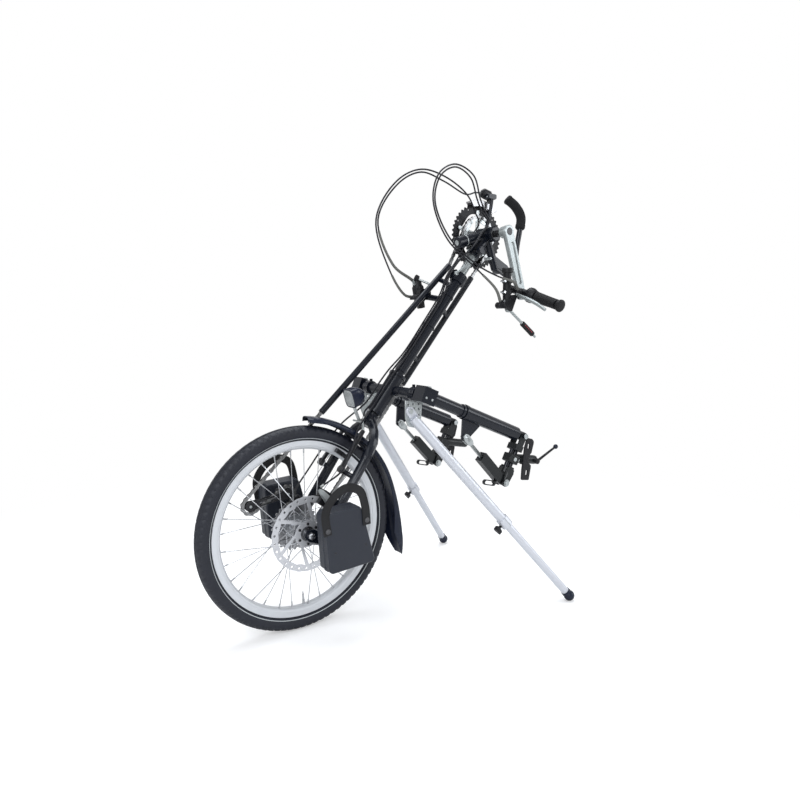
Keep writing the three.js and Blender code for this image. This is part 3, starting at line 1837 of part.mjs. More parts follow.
// Left handle: a barrel on the pedal axle, a bracket, a post and a bar with levers and grip
const pedalLeft = pedalPoint(crankset.leftAngle, -handle.y);
const bracketEnd = point(handle.postX, -handle.y, handle.postZ);
const barStart = point(handle.barX, -handle.y, handle.barZ - handle.barDrop);
const barEnd = point(handle.barEndX, -handle.barEndY, handle.barEndZ);
const barDirection = barEnd.clone().sub(barStart).normalize();
const barAt = (y) => along(barStart, barEnd, (-y - handle.y) / (handle.barEndY - handle.y));
const levelPost = (z) => point(handle.postX, -handle.y, z);
const perch = point(lever.pivotX, -lever.pivotY, lever.pivotZ);
const leverAxis = xAxis.clone().cross(barDirection).normalize();
const parkPivot = point(lever.parkX, -handle.y, lever.parkZ);
const handleLeftBody = join([
  rod(
    pedalPoint(crankset.leftAngle, -handle.inner),
    pedalPoint(crankset.leftAngle, -handle.outer),
    handle.barrel,
    10
  ),
  rod(pedalLeft, bracketEnd, handle.bracket, 10),
  rod(levelPost(handle.postLow), levelPost(handle.postHigh), handle.post, 10),
  rod(
    levelPost(handle.postHigh - handle.capInset),
    levelPost(handle.postHigh + handle.capHeight),
    handle.post * 1.3,
    10
  ),
  rod(barStart, barEnd, handle.bar, 10),
  box(stepTo(perch, xAxis, handle.perchAhead), handle.perchBlock, [
    xAxis,
    barDirection.clone().negate(),
    leverAxis,
  ]),
  box(point(lever.parkX - handle.parkBack, -handle.y, lever.parkZ + handle.parkRise), handle.parkBlock),
]);
const pedalHole = rod(
  pedalPoint(crankset.leftAngle, -handle.inner + overrun),
  pedalPoint(crankset.leftAngle, -handle.outer - overrun),
  handle.bore,
  10
);
const leverPin = (radius, reach) => rod(
  stepTo(perch, leverAxis, -reach),
  stepTo(perch, leverAxis, reach),
  radius,
  8
);
const onPerch = (radius, reach) =>
  rod(stepTo(perch, leverAxis, -reach), stepTo(perch, leverAxis, reach), radius, 10);
const perchBlock = onPerch(handle.perchHub, handle.perchHub);
const perchSlot = onPerch(handle.perchSlotRadius, handle.perchSlot);
const parkSlot = box(stepTo(parkPivot, xAxis, handle.parkRise), handle.parkSlot);
add(
  "handle_left",
  cut(
    handleLeftBody.add(perchBlock),
    [pedalHole, perchSlot, parkSlot, leverPin(lever.pin + gap, lever.pinRoom)]
  ).add(
    rod(
      stepTo(parkPivot, yAxis, -handle.post),
      stepTo(parkPivot, yAxis, handle.post),
      lever.parkRadius,
      10
    )
  ),
  0x1b1c1e,
  0.45,
  0.4
);
const gripFrom = barAt(-handle.gripStart);
const gripShell = [rod(gripFrom, barEnd, handle.grip, 10)];
for (let i = 0; i < 3; i += 1) {
  const start = along(gripFrom, barEnd, 0.15 + i * 0.25);
  gripShell.push(
    rod(start, stepTo(start, barDirection, handle.ridgeWidth), handle.grip + handle.ridge, 10)
  );
}
gripShell.push(rod(stepTo(barEnd, barDirection, -handle.gripEndWidth), barEnd, handle.gripEnd, 10));
const barSpace = rod(
  stepTo(gripFrom, barDirection, -handle.barRoom),
  stepTo(barEnd, barDirection, overrun),
  handle.bar + gap,
  10
);
add("grip_left", join(gripShell).subtract(barSpace), 0x141517, 0.85, 0);
add(
  "twist_shifter",
  join([
    rod(barAt(-handle.twistStart), barAt(-handle.twistEnd), handle.twist * 0.8, 10),
    rod(barAt(-handle.collarStart), barAt(-handle.collarEnd), handle.twist, 10),
  ]).subtract(
    rod(barAt(-handle.twistBoreStart), barAt(-handle.twistBoreEnd), handle.bar + 3 * gap, 10)
  ),
  0x1b1c1e,
  0.5,
  0.1
);
const bladeRoot = point(
  lever.pivotX - lever.rootX,
  -lever.pivotY - lever.rootY,
  lever.pivotZ - lever.rootZ
);
const bladeEnd = point(lever.pivotX - lever.tipX, -lever.tipY, lever.pivotZ - lever.tipZ);
add(
  "brake_lever",
  join([
    onPerch(lever.hub, lever.hubHalf),
    rod(perch, along(perch, bladeRoot, 1.1), lever.radius * 0.9, 8),
    rod(bladeRoot, bladeEnd, lever.radius, 8, lever.radius * 1.3),
    leverPin(lever.pin, lever.pinHalf),
  ]),
  0xd0d3d6,
  0.25,
  0.95
);
const parkTip = point(lever.parkTipX, -handle.y, lever.parkTipZ);
const parkKnee = along(parkPivot, parkTip, 0.5);
const parkRing = tube(
  stepTo(parkPivot, yAxis, -lever.parkHalf),
  stepTo(parkPivot, yAxis, lever.parkHalf),
  lever.parkRadius * 1.9,
  lever.parkRadius + gap,
  10
);
const parkStart = along(parkPivot, parkTip, 0.06);

// Right handle: a bent rod from the pedal axle up to a foam grip
const pedalRight = pedalPoint(crankset.rightAngle, handle.y);
const handlePath = [pedalRight, ...rightHandle.map((place) => point(...place))];
const handleRod = sweep(handlePath, handle.rod, 10, 12);
add(
  "handle_right",
  cut(join(
    [
      rod(
        pedalPoint(crankset.rightAngle, handle.inner),
        pedalPoint(crankset.rightAngle, handle.outer),
        handle.barrel,
        10
      ),
      handleRod,
    ]
  ), [
    rod(
      pedalPoint(crankset.rightAngle, handle.inner - overrun),
      pedalPoint(crankset.rightAngle, handle.outer + overrun),
      handle.bore,
      10
    ),
  ]),
  0x1b1c1e,
  0.4,
  0.5
);
add(
  "grip_right",
  sweep(handlePath.slice(4), handle.foam, 12, 9).subtract(sweep(handlePath, handle.rod + gap, 10, 12)),
  0x1b1c1e,
  0.95,
  0
);

add(
  "parking_lever",
  join([
    parkRing,
    rod(parkStart, parkKnee, lever.radius, 8),
    rod(parkKnee, along(parkPivot, parkTip, 0.92), lever.radius * 1.9, 10),
    rod(along(parkPivot, parkTip, 0.9), parkTip, lever.radius, 8),
  ]).subtract(
    rod(
      stepTo(parkPivot, yAxis, -handle.post),
      stepTo(parkPivot, yAxis, handle.post),
      lever.parkRadius + gap,
      10
    )
  ),
  0x17181a,
  0.5,
  0.2
);

// Front derailleur: a barrel on the arm's pin carries two cage plates over the rings
function ringSector(inner, outer, from, to, steps = 5) {
  const points = [];
  for (let i = 0; i <= steps; i += 1) {
    const angle = rad(from + ((to - from) * i) / steps);
    points.push([outer * Math.cos(angle), outer * Math.sin(angle)]);
  }
  for (let i = steps; i >= 0; i -= 1) {
    const angle = rad(from + ((to - from) * i) / steps);
    points.push([inner * Math.cos(angle), inner * Math.sin(angle)]);
  }
  return points;
}
const mechSector = (inner, from, to, y, thickness) =>
  sidePlate(ringSector(inner, mechOuter, from, to), thickness, crankAt.x, y, crankAt.z);
const cageLeft = chainY - half - frontMech.leftGap;
const cageRight = bigRingY + half + frontMech.rightGap;
const cageWide = cageRight - cageLeft + frontMech.overlap;
const barrelFrom = mechX - mechHalf + frontMech.rail + gap;
const barrelTo = mechX + mechHalf - frontMech.rail - gap;
const mechBridgeInner = mechOuter - frontMech.bridge;
const mechBlock = (ahead, y, rise, size) => box(
  point(mechX - ahead, y, mechZ + rise),
  size
);
const neckY = (frontMech.y + cageLeft) / 2 + frontMech.neckShift;
const neckLong = cageLeft - frontMech.y + frontMech.overlap;
const blockY = frontMech.y + frontMech.barrel + frontMech.blockOut;
add(
  "front_derailleur",
  cut(
    join([
      mechSector(mechInner, 50, 112, cageLeft, cage.plate),
      mechSector(mechInner, 50, 112, cageRight, cage.plate),
      mechSector(mechBridgeInner, 50, 58, cageLeft, cageWide),
      mechSector(mechBridgeInner, 100, 112, cageLeft, cageWide),
      alongX(frontMech.y, mechZ, barrelFrom, barrelTo, frontMech.barrel, 10),
      mechBlock(0, neckY, -frontMech.neckDrop, [frontMech.neckWide, neckLong, frontMech.neckDeep]),
      mechBlock(0, cageLeft + frontMech.overlap, -frontMech.tabDrop, [
        frontMech.neckWide,
        frontMech.tabThick,
        frontMech.tabDeep,
      ]),
      mechBlock(frontMech.blockBack, blockY, frontMech.blockRise, frontMech.block),
      mechBlock(frontMech.webBack, frontMech.y + frontMech.barrel, frontMech.webRise, frontMech.web),
    ]),
    [alongX(frontMech.y, mechZ, barrelFrom - overrun, barrelTo + overrun, frontMech.bore, 10)]
  ),
  0x2a2c2f,
  0.35,
  0.7
);

// Rear derailleur: a knuckle on the hanger, a link box and a knuckle that carries the pulley cage
const hangerAt = (y) => point(mech.hangerX, y, mech.hangerZ);
const guideAt = (y) => point(pulley.guideX, y, pulley.guideZ);
const tensionAt = (y) => point(pulley.tensionX, y, pulley.tensionZ);
add(
  "rear_derailleur",
  join([
    rod(hangerAt(mech.inner), hangerAt(mech.outer), mech.radius, 10),
    rod(guideAt(mech.knuckle), guideAt(mech.knuckleEnd), mech.radius * 1.15, 10),
    rod(
      hangerAt(mech.knuckleEnd - mech.boreInset),
      guideAt(mech.knuckleEnd - mech.linkInset),
      mech.radius * 0.8,
      8
    ),
  ]).subtract(
    rod(guideAt(mech.knuckle - overrun), guideAt(mech.knuckleEnd - mech.boreInset), mech.pin + gap, 10)
  ),
  0x2b2d30,
  0.35,
  0.7
);
const cageLong = guideAt(0).distanceTo(tensionAt(0));
const cageTurn = Math.atan2(pulley.tensionZ - pulley.guideZ, pulley.tensionX - pulley.guideX);
const cageOutline = hull(cage.width / 2, cage.width / 2, cageLong, 4);
const cagePlate = (y) => sidePlate(
  cageOutline,
  cage.plate,
  pulley.guideX,
  y,
  pulley.guideZ,
  [],
  cageTurn
);
const pulleyAt = (at) => [
  rod(at(chainY - cage.inside - cage.plate), at(chainY + cage.inside + cage.plate), pulley.pin, 8),
  rod(at(chainY - pulley.width / 2), at(chainY + pulley.width / 2), pulley.disc, 12),
];
add(
  "derailleur_cage",
  join([
    cagePlate(chainY - cage.inside - cage.plate),
    cagePlate(chainY + cage.inside),
    ...pulleyAt(guideAt),
    ...pulleyAt(tensionAt),
    rod(guideAt(chainY + cage.inside), guideAt(mech.knuckleEnd - mech.pinInset), mech.pin, 10),
  ]),
  0x3a3c40,
  0.35,
  0.8
);

// Side boxes on the fork's hangers, each with a riveted strap as its carrying handle
function addCase(side, name) {
  const shiftX = side === leftSide ? 0 : caseBox.shiftX;
  const shiftZ = side === leftSide ? 0 : caseBox.shiftZ;
  const place = ([u, w]) => [u + shiftX, w + shiftZ];
  const outline = caseSide.map(place);
  const inner = side === leftSide ? -caseBox.inner - caseBox.depth : caseBox.inner;
  const face = side * (caseBox.inner + caseBox.depth + gap);
  const body = sidePlate(outline, caseBox.depth, 0, inner, 0);
  const centre = outline.reduce(
    ([u, w], [a, b]) => [u + a / outline.length, w + b / outline.length],
    [0, 0]
  );
  const belt = outline.map(
    ([u, w]) => [centre[0] + (u - centre[0]) * 1.025, centre[1] + (w - centre[1]) * 1.025]
  );
  const beltPlate = sidePlate(belt, caseBox.depth * 0.14, 0, inner + caseBox.depth * 0.43, 0);
  add(`side_box_${name}`, body.add(beltPlate), 0x3b4149, 0.6, 0);
  const route = strapRoute.map(place);
  const bend = new THREE.CatmullRomCurve3(route.map(([u, w]) => point(u, 0, w)), false, "centripetal");
  const edges = [[], []];
  for (let i = 0; i <= 10; i += 1) {
    const at = bend.getPointAt(i / 10);
    const way = bend.getTangentAt(i / 10);
    edges[0].push([at.x - (way.z * caseBox.strap) / 2, at.z + (way.x * caseBox.strap) / 2]);
    edges[1].unshift([at.x + (way.z * caseBox.strap) / 2, at.z - (way.x * caseBox.strap) / 2]);
  }
  const strapY = side === leftSide ? face - caseBox.strapThick : face;
  const ribbon = sidePlate([...edges[0], ...edges[1]], caseBox.strapThick, 0, strapY, 0);
  const rivets = strapRivets.map(place).map(([u, w]) => {
    const seat = point(u, face + side * caseBox.rivetInset, w);
    const headEnd = point(u, face + side * (caseBox.strapThick + caseBox.rivetHead), w);
    return rod(seat, headEnd, caseBox.rivet, 8);
  });
  add(`box_strap_${name}`, join([ribbon, ...rivets]), 0x1c1d1f, 0.7, 0);
}
addCase(leftSide, "left");
addCase(rightSide, "right");

// Rim brake: two arms on the fork's bosses with pads, and a noodle over the fender
function addBrakeArm(side, name) {
  const seatBack = fork.bossBack - gap;
  const armBack = seatBack - brake.arm;
  const middle = (seatBack + armBack) / 2;
  const low = onColumn(middle, side * fork.bossSpread, brake.height);
  const high = onColumn(middle, side * brake.topSpread, brake.top);
  const barrel = rod(
    onColumn(seatBack, side * fork.bossSpread, brake.height),
    onColumn(armBack, side * fork.bossSpread, brake.height),
    brake.arm * 0.8,
    12
  );
  const padY = side * (brake.padOffset + brake.pad / 2);
  const padCentre = onColumn(middle, padY, brake.padHeight);
  const tangentLine = back.clone();
  const pad = box(padCentre, [brake.padLong, brake.pad, brake.pad], [tangentLine, yAxis, up]);
  const post = rod(
    padCentre,
    onColumn(middle, side * (fork.bossSpread - brake.padPostInset), brake.padHeight),
    brake.padPost,
    8
  );
  const pieces = [barrel, rod(low, high, brake.arm / 2, 8), pad, post];
  if (side === leftSide) {
    const above = onColumn(middle, -brake.topSpread * 0.4, brake.top + brake.noodleRise);
    const noodleEnd = onColumn(middle, brake.topSpread * 0.6, brake.top + brake.noodleEndRise);
    pieces.push(rod(high, above, brake.noodle, 8));
    pieces.push(rod(along(above, high, 0.08), noodleEnd, brake.noodleEnd, 8));
  }
  add(`brake_arm_${name}`, join(pieces), 0x9fa3a8, 0.35, 0.8);
}
addBrakeArm(leftSide, "left");
addBrakeArm(rightSide, "right");

// Disc caliper: a block with a slot for the rotor, and its cable arm
const caliperMiddle = onColumn(caliperRear - gap - caliper.long / 2, -caliper.y, caliper.height);
const caliperBody = box(caliperMiddle, [caliper.long, caliper.wide, caliper.tall], [back, yAxis, up]);
const caliperDome = rod(
  stepTo(caliperMiddle, yAxis, -caliper.wide / 2 + caliper.domeInset),
  stepTo(caliperMiddle, yAxis, caliper.wide / 2 + caliper.domeOut),
  caliper.tall * 0.42,
  14
);
const rotorSlot = axleSpan(
  rotorY - caliper.slot,
  rotorY + rotor.thick + caliper.slot,
  rotor.radius + caliper.slotRoom,
  36
);
const armFace = -caliper.y - caliper.wide / 2 - gap;
const armPinEnd = point(caliperMiddle.x, armFace - caliper.pinOut, caliperMiddle.z);
const armPin = (radius, sides) =>
  rod(stepTo(caliperMiddle, yAxis, -caliper.pinStart), armPinEnd, radius, sides);
const armBore = rod(
  stepTo(caliperMiddle, yAxis, -caliper.boreStart),
  armPinEnd,
  caliper.pin + gap,
  10
);
add("disc_caliper", cut(caliperBody.add(caliperDome), [rotorSlot, armBore]), 0x2a2b2e, 0.35, 0.7);
const armPlate = sidePlate(
  hull(caliper.armHub, caliper.armTip, caliper.arm),
  caliper.armThick,
  caliperMiddle.x,
  armFace - caliper.armThick,
  caliperMiddle.z,
  [],
  rad(caliper.armTurn)
);
const pinTrim = rod(
  caliperMiddle,
  stepTo(caliperMiddle, yAxis, -caliper.pinTrim),
  caliper.pinTrimRadius,
  8
);
add("caliper_arm", armPlate.add(armPin(caliper.pin, 8).subtract(pinTrim)), 0xb9bcc0, 0.3, 0.9);

// Fender: a channel section round the top of the wheel with a flared flap, on a post under the crown
const fenderAt = (inner, outer, width) =>
  sidePlate(
    ringSector(inner, outer, fender.rear, fender.front, 16),
    width,
    0,
    -width / 2,
    wheel.radius
  );
const fenderOuter = fender.inner + fender.thick;
const lipWidth = 2 * (fender.half - fender.lipWide);
const flapAngle = rad(fender.rear + 2);
const flapStart = point(
  fenderOuter * Math.cos(flapAngle),
  0,
  wheel.radius + fenderOuter * Math.sin(flapAngle)
);
const flapEnd = point(fender.flapX, 0, fender.flapZ);
const flapLong = flapStart.distanceTo(flapEnd);
const flapDirection = flapEnd.clone().sub(flapStart).normalize();
const flap = box(along(flapStart, flapEnd, 0.5), [flapLong, 2 * fender.half, fender.thick], [
  flapDirection,
  yAxis,
  flapDirection.clone().cross(yAxis),
]);
add(
  "fender",
  join([
    fenderAt(fender.inner - fender.lip, fenderOuter, 2 * fender.half).subtract(
      fenderAt(fender.inner - 2 * fender.lip, fender.inner, lipWidth)
    ),
    flap,
    rod(
      onColumn(0, 0, fender.inner + fender.thick / 2),
      onColumn(0, 0, fork.crownLow - gap),
      fender.post,
      10
    ),
  ]),
  0x17181a,
  0.35,
  0
);

// Headlight: a tapered lamp with its bracket on the front of the crown
const lampAt = point(lamp.x, -lamp.y, lamp.z);
const lampFront = point(lamp.x - lamp.long / 2, -lamp.y, lamp.z - lamp.tilt);
const lampBack = point(lamp.x + lamp.long / 2, -lamp.y, lamp.z + lamp.tilt);
const crownFront = onColumn(-fork.crown - gap, 0, (fork.crownLow + fork.crownTop) / 2);
const bracketKnee = stepTo(crownFront, back, -lamp.knee);
add(
  "headlight",
  join([
    rod(lampFront, lampAt, lamp.radius, 12),
    rod(lampAt, lampBack, lamp.radius, 16, lamp.radius * 0.6),
    rod(crownFront, stepTo(bracketKnee, back, -lamp.arm / 2), lamp.arm, 8),
    rod(bracketKnee, point(lamp.x, 0, lamp.z - lamp.radius + lamp.armInset), lamp.arm, 8),
  ]),
  0x202225,
  0.3,
  0.2
);

// Gear selector on the column: an upright drum on its stub
add(
  "column_shifter",
  join([
    rod(drumLow, along(drumLow, drumHigh, 0.3), shifter.radius * 0.7, 10),
    rod(along(drumLow, drumHigh, 0.28), along(drumLow, drumHigh, 0.75), shifter.radius, 10),
    rod(along(drumLow, drumHigh, 0.73), drumHigh, shifter.radius * 0.85, 10),
  ]),
  0x222427,
  0.4,
  0.4
);

// Control cables, each pair held by one clip where the loops meet above the shell
function cablePair(name, first, second, clip, colour) {
  const run = (points) => sweep(points, cable.radius, cable.sides, cable.steps);
  const held = rod(clip[0], clip[1], cable.radius * 1.5, 8);
  add(name, join([run(first), run(second), held]), colour, 0.5, 0);
}
const downColumn = (route) =>
  route.out.map((out, index) => {
    const turn = rad(route.turns[index]);
    return onColumn(-out * Math.cos(turn), -out * Math.sin(turn), route.heights[index]);
  });
const besideShell = (further, y) =>
  shellPass.out.map((out, index) => onColumn(-out - further, y, shellPass.heights[index]));
const freeLoop = (route) => route.map((place) => point(...place));
const onFork = (route) => route.map((place) => onColumn(...place));
const brakeLoop = [
  stepTo(stepTo(perch, leverAxis, -cable.leverOut), xAxis, -cable.leverBack),
  ...freeLoop(brakeLoopRoute),
];
const parkLoop = freeLoop(parkLoopRoute);
const armReach = caliper.arm * Math.cos(rad(caliper.armTurn));
const armRise = caliper.arm * Math.sin(rad(caliper.armTurn));
const discEnd = point(
  caliperMiddle.x + armReach,
  armFace - caliper.cableInset,
  caliperMiddle.z + armRise + caliper.cableRise
);
const noodleEnd = onColumn(
  fork.bossBack - gap - brake.arm / 2,
  -brake.topSpread * 0.4,
  brake.top + brake.cableRise
);
cablePair(
  "brake_cables",
  [
    ...brakeLoop,
    ...besideShell(0, shellPass.brakeY),
    ...downColumn(brakeColumn),
    ...onFork(brakeFork),
    discEnd,
  ],
  [
    ...parkLoop,
    ...besideShell(shellPass.step, shellPass.parkY),
    ...downColumn(parkColumn),
    onColumn(...parkFork),
    noodleEnd,
  ],
  [brakeLoop[5], parkLoop[5]],
  0x111214
);
const selectorLoop = freeLoop(selectorRoute);
const gearLoop = freeLoop(gearRoute);
cablePair(
  "shifter_cables",
  selectorLoop,
  [
    ...gearLoop,
    ...besideShell(0, shellPass.gearY),
    ...downColumn(gearColumn),
    ...onFork(gearFork),
    point(...gearEnd),
  ],
  [selectorLoop[2], gearLoop[3]],
  0x111214
);

// Origin: the middle of the whole box, on the ground
handcycle.updateMatrixWorld(true);
const wholeBox = new THREE.Box3().setFromObject(handcycle);
const middle = wholeBox.getCenter(point(0, 0, 0));
const shiftX = -middle.x;
const shiftY = -middle.y;
const shiftZ = -wholeBox.min.z;
for (const mesh of handcycle.children) mesh.geometry.translate(shiftX, shiftY, shiftZ);
console.log(`offset ${shiftX.toFixed(4)} ${shiftY.toFixed(4)} ${shiftZ.toFixed(4)}`);

export default handcycle;
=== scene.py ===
import bpy
import bmesh
import json
import math
from math import cos, pi, radians, sin
from mathutils import Matrix, Vector

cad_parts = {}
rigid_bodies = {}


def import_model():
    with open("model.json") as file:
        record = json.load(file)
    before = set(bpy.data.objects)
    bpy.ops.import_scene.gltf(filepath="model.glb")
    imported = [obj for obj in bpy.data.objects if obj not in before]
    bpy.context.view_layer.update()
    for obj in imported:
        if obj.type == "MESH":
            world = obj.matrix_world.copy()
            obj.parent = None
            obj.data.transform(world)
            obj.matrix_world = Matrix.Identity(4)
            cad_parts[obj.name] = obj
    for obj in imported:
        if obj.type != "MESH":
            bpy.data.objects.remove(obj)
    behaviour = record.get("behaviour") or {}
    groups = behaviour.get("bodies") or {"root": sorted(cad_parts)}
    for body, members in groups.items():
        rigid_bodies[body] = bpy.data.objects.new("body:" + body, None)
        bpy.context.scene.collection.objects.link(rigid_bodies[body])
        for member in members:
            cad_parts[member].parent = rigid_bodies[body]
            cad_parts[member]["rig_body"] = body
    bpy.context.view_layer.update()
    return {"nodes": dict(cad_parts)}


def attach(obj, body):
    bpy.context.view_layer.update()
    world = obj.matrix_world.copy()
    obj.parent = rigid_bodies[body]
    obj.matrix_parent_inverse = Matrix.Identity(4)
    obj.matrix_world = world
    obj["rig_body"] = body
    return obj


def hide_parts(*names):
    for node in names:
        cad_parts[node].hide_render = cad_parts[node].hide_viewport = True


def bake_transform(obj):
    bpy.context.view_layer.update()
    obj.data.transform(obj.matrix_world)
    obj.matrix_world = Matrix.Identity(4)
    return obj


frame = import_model()

# Camera: the photo's own view, from the rider's left and a little above, with a
# normal lens that was fitted to the wheel's outline.
camera_data = bpy.data.cameras.new("photo_camera")
camera_data.lens = 28.27
camera_data.sensor_width = 36
camera = bpy.data.objects.new("photo_camera", camera_data)
camera.location = (-0.90325, -1.3139, 0.7162)
camera.rotation_euler = (radians(90 - 6.811), 0, radians(-34.318))
bpy.context.scene.collection.objects.link(camera)
bpy.context.scene.camera = camera

# Floor, backdrop and light: a plain white studio floor that keeps the shadow near the
# object and fades to the white world; metal sees a studio with darker sides.
FADE_FROM, FADE_TO = 0.7, 1.7
WHITE = (1, 1, 1, 1)


def add_node(tree, kind, inputs=None, **settings):
    """A shader node with its settings, and its inputs set to values or linked to sockets."""
    node = tree.nodes.new(kind)
    for setting, value in settings.items():
        setattr(node, setting, value)
    for label, value in (inputs or {}).items():
        if isinstance(value, bpy.types.NodeSocket):
            tree.links.new(value, node.inputs[label])
        else:
            node.inputs[label].default_value = value
    return node


def material(name, rough, metal=0.0, coat=0.0, specular=0.5):
    """A new material, its node tree and its shader."""
    made = bpy.data.materials.new(name)
    made.use_nodes = True
    shader = made.node_tree.nodes["Principled BSDF"]
    shader.inputs["Roughness"].default_value = rough
    shader.inputs["Metallic"].default_value = metal
    shader.inputs["Coat Weight"].default_value = coat
    shader.inputs["Specular IOR Level"].default_value = specular
    return made, made.node_tree, shader


floor_paint, tree, shader = material("studio_floor", 0.9)
shader.inputs["Base Color"].default_value = (0.86, 0.86, 0.86, 1)
shader.inputs["Emission Color"].default_value = WHITE
spot = add_node(tree, "ShaderNodeTexCoord").outputs["Object"]
far = add_node(tree, "ShaderNodeVectorMath", {0: spot}, operation="LENGTH").outputs["Value"]
fade = add_node(
    tree, "ShaderNodeMapRange", {"Value": far, "From Min": FADE_FROM, "From Max": FADE_TO},
    interpolation_type="SMOOTHSTEP",
)
by_camera = add_node(tree, "ShaderNodeLightPath").outputs["Is Camera Ray"]
shine = add_node(tree, "ShaderNodeEmission", {"Strength": 1.0}).outputs["Emission"]
share = add_node(tree, "ShaderNodeMath", {0: fade.outputs["Result"], 1: by_camera}, operation="MULTIPLY")
both = add_node(
    tree, "ShaderNodeMixShader", {"Fac": share.outputs[0], 1: shader.outputs["BSDF"], 2: shine}
)
tree.links.new(both.outputs["Shader"], tree.nodes["Material Output"].inputs["Surface"])
raised = add_node(tree, "ShaderNodeMath", {0: by_camera, 1: 0.3}, operation="MULTIPLY")
tree.links.new(raised.outputs[0], shader.inputs["Emission Strength"])
floor_mesh = bmesh.new()
bmesh.ops.create_circle(floor_mesh, cap_ends=True, radius=9, segments=96)
floor_data = bpy.data.meshes.new("studio_floor")
floor_mesh.to_mesh(floor_data)
floor_mesh.free()
floor_data.materials.append(floor_paint)
floor = bpy.data.objects.new("studio_floor", floor_data)
bpy.context.scene.collection.objects.link(floor)
world = bpy.data.worlds.new("studio")
bpy.context.scene.world = world
world.use_nodes = True
tree = world.node_tree
ray = add_node(tree, "ShaderNodeLightPath").outputs
direction = add_node(tree, "ShaderNodeTexCoord").outputs["Generated"]
height = add_node(tree, "ShaderNodeSeparateXYZ", {"Vector": direction}).outputs["Z"]
lifted = add_node(tree, "ShaderNodeMapRange", {"Value": height, "From Min": -1}).outputs["Result"]
room = add_node(tree, "ShaderNodeValToRGB", {"Fac": lifted})
room.color_ramp.interpolation = "EASE"
room.color_ramp.elements[0].color = (0.30, 0.31, 0.33, 1)
room.color_ramp.elements[1].color = (0.62, 0.62, 0.62, 1)
for height_share, tone in (
    (0.42, (0.12, 0.125, 0.135, 1)), (0.62, (0.9, 0.9, 0.9, 1)), (0.8, (0.34, 0.34, 0.35, 1)),
):
    room.color_ramp.elements.new(height_share).color = tone
seen = add_node(
    tree, "ShaderNodeMath", {0: ray["Is Camera Ray"], 1: ray["Is Transmission Ray"]}, operation="MAXIMUM"
)
backdrop = {"A": room.outputs["Color"], "B": WHITE, "Factor": seen.outputs[0]}
backdrop_mix = add_node(tree, "ShaderNodeMix", backdrop, data_type="RGBA")
tree.links.new(backdrop_mix.outputs["Result"], tree.nodes["Background"].inputs["Color"])
for name, place, aim, width, power in (
    ("key_lamp", (-2.6, -2.4, 2.6), (0, 0, 0.5), 2.0, 70),
    ("side_lamp", (2.6, -2.2, 1.6), (0, 0, 0.5), 1.4, 26),
    ("top_lamp", (0.2, 0.6, 3.4), (0, 0, 0.4), 2.2, 60),
):
    lamp_data = bpy.data.lights.new(name, "AREA")
    lamp_data.size = width
    lamp_data.energy = power
    lamp_data.color = (0.91, 0.95, 1.0)
    lamp = bpy.data.objects.new(name, lamp_data)
    lamp.location = place
    lamp.rotation_euler = (Vector(aim) - Vector(place)).to_track_quat("-Z", "Y").to_euler()
    bpy.context.scene.collection.objects.link(lamp)
bpy.context.scene.view_settings.view_transform = "Standard"

# Tyre: a 20 inch rubber tyre, 40 mm wide, with shoulder blocks cut by slits, two
# centre grooves and a thin reflective line moulded on each wall.
WHEEL_X = -0.29465
WHEEL = Vector((WHEEL_X, 0, 0.243))
TREAD_STEPS = 360
SLIT_EVERY = 4
SLIT_DEPTH, BLOCK_DIP, WALL_DIP = 0.0034, 0.0010, 0.94
CROWN_FROM, SHOULDER_FROM, WALL_FROM = 0.2405, 0.2335, 0.2270
LINE_FROM, LINE_TO = 0.2143, 0.2157


def shared_group(name, inputs, outputs):
    """An effect that many finishes use: its node tree and the sockets of its inputs."""
    tree = bpy.data.node_groups.new(name, "ShaderNodeTree")
    for way, sockets in (("INPUT", inputs), ("OUTPUT", outputs)):
        for label, kind in sockets.items():
            tree.interface.new_socket(name=label, in_out=way, socket_type="NodeSocket" + kind)
    return tree, add_node(tree, "NodeGroupInput").outputs


grain_tree, grain_in = shared_group(
    "surface_grain", {"Vector": "Vector", "Grain": "Float"},
    {"Fine": "Float", "Broad": "Float", "Specks": "Float"},
)


def noise(scale, detail, rough=0.5):
    """One of the noises of the shared grain."""
    inputs = {"Vector": grain_in["Vector"], "Scale": scale, "Detail": detail, "Roughness": rough}
    return add_node(grain_tree, "ShaderNodeTexNoise", inputs).outputs["Fac"]


dots = {"Value": noise(260, 5, 0.7), "From Min": 0.66, "From Max": 0.74}
specks = add_node(grain_tree, "ShaderNodeMapRange", dots).outputs["Result"]
grains = {"Fine": noise(grain_in["Grain"], 3), "Broad": noise(14, 4, 0.6), "Specks": specks}
add_node(grain_tree, "NodeGroupOutput", grains)
wear_tree, wear_in = shared_group("edge_wear", {"Radius": "Float"}, {"Normal": "Vector", "Rub": "Float"})
soft = add_node(wear_tree, "ShaderNodeBevel", {"Radius": wear_in["Radius"]}, samples=4).outputs["Normal"]
flat = add_node(wear_tree, "ShaderNodeNewGeometry").outputs["Normal"]
near = add_node(wear_tree, "ShaderNodeVectorMath", {0: soft, 1: flat}, operation="DOT_PRODUCT")
bend = {"Value": near.outputs["Value"], "From Min": 0.97, "From Max": 0.8, "To Max": 0.7}
rub = add_node(wear_tree, "ShaderNodeMapRange", bend).outputs["Result"]
add_node(wear_tree, "NodeGroupOutput", {"Normal": soft, "Rub": rub})


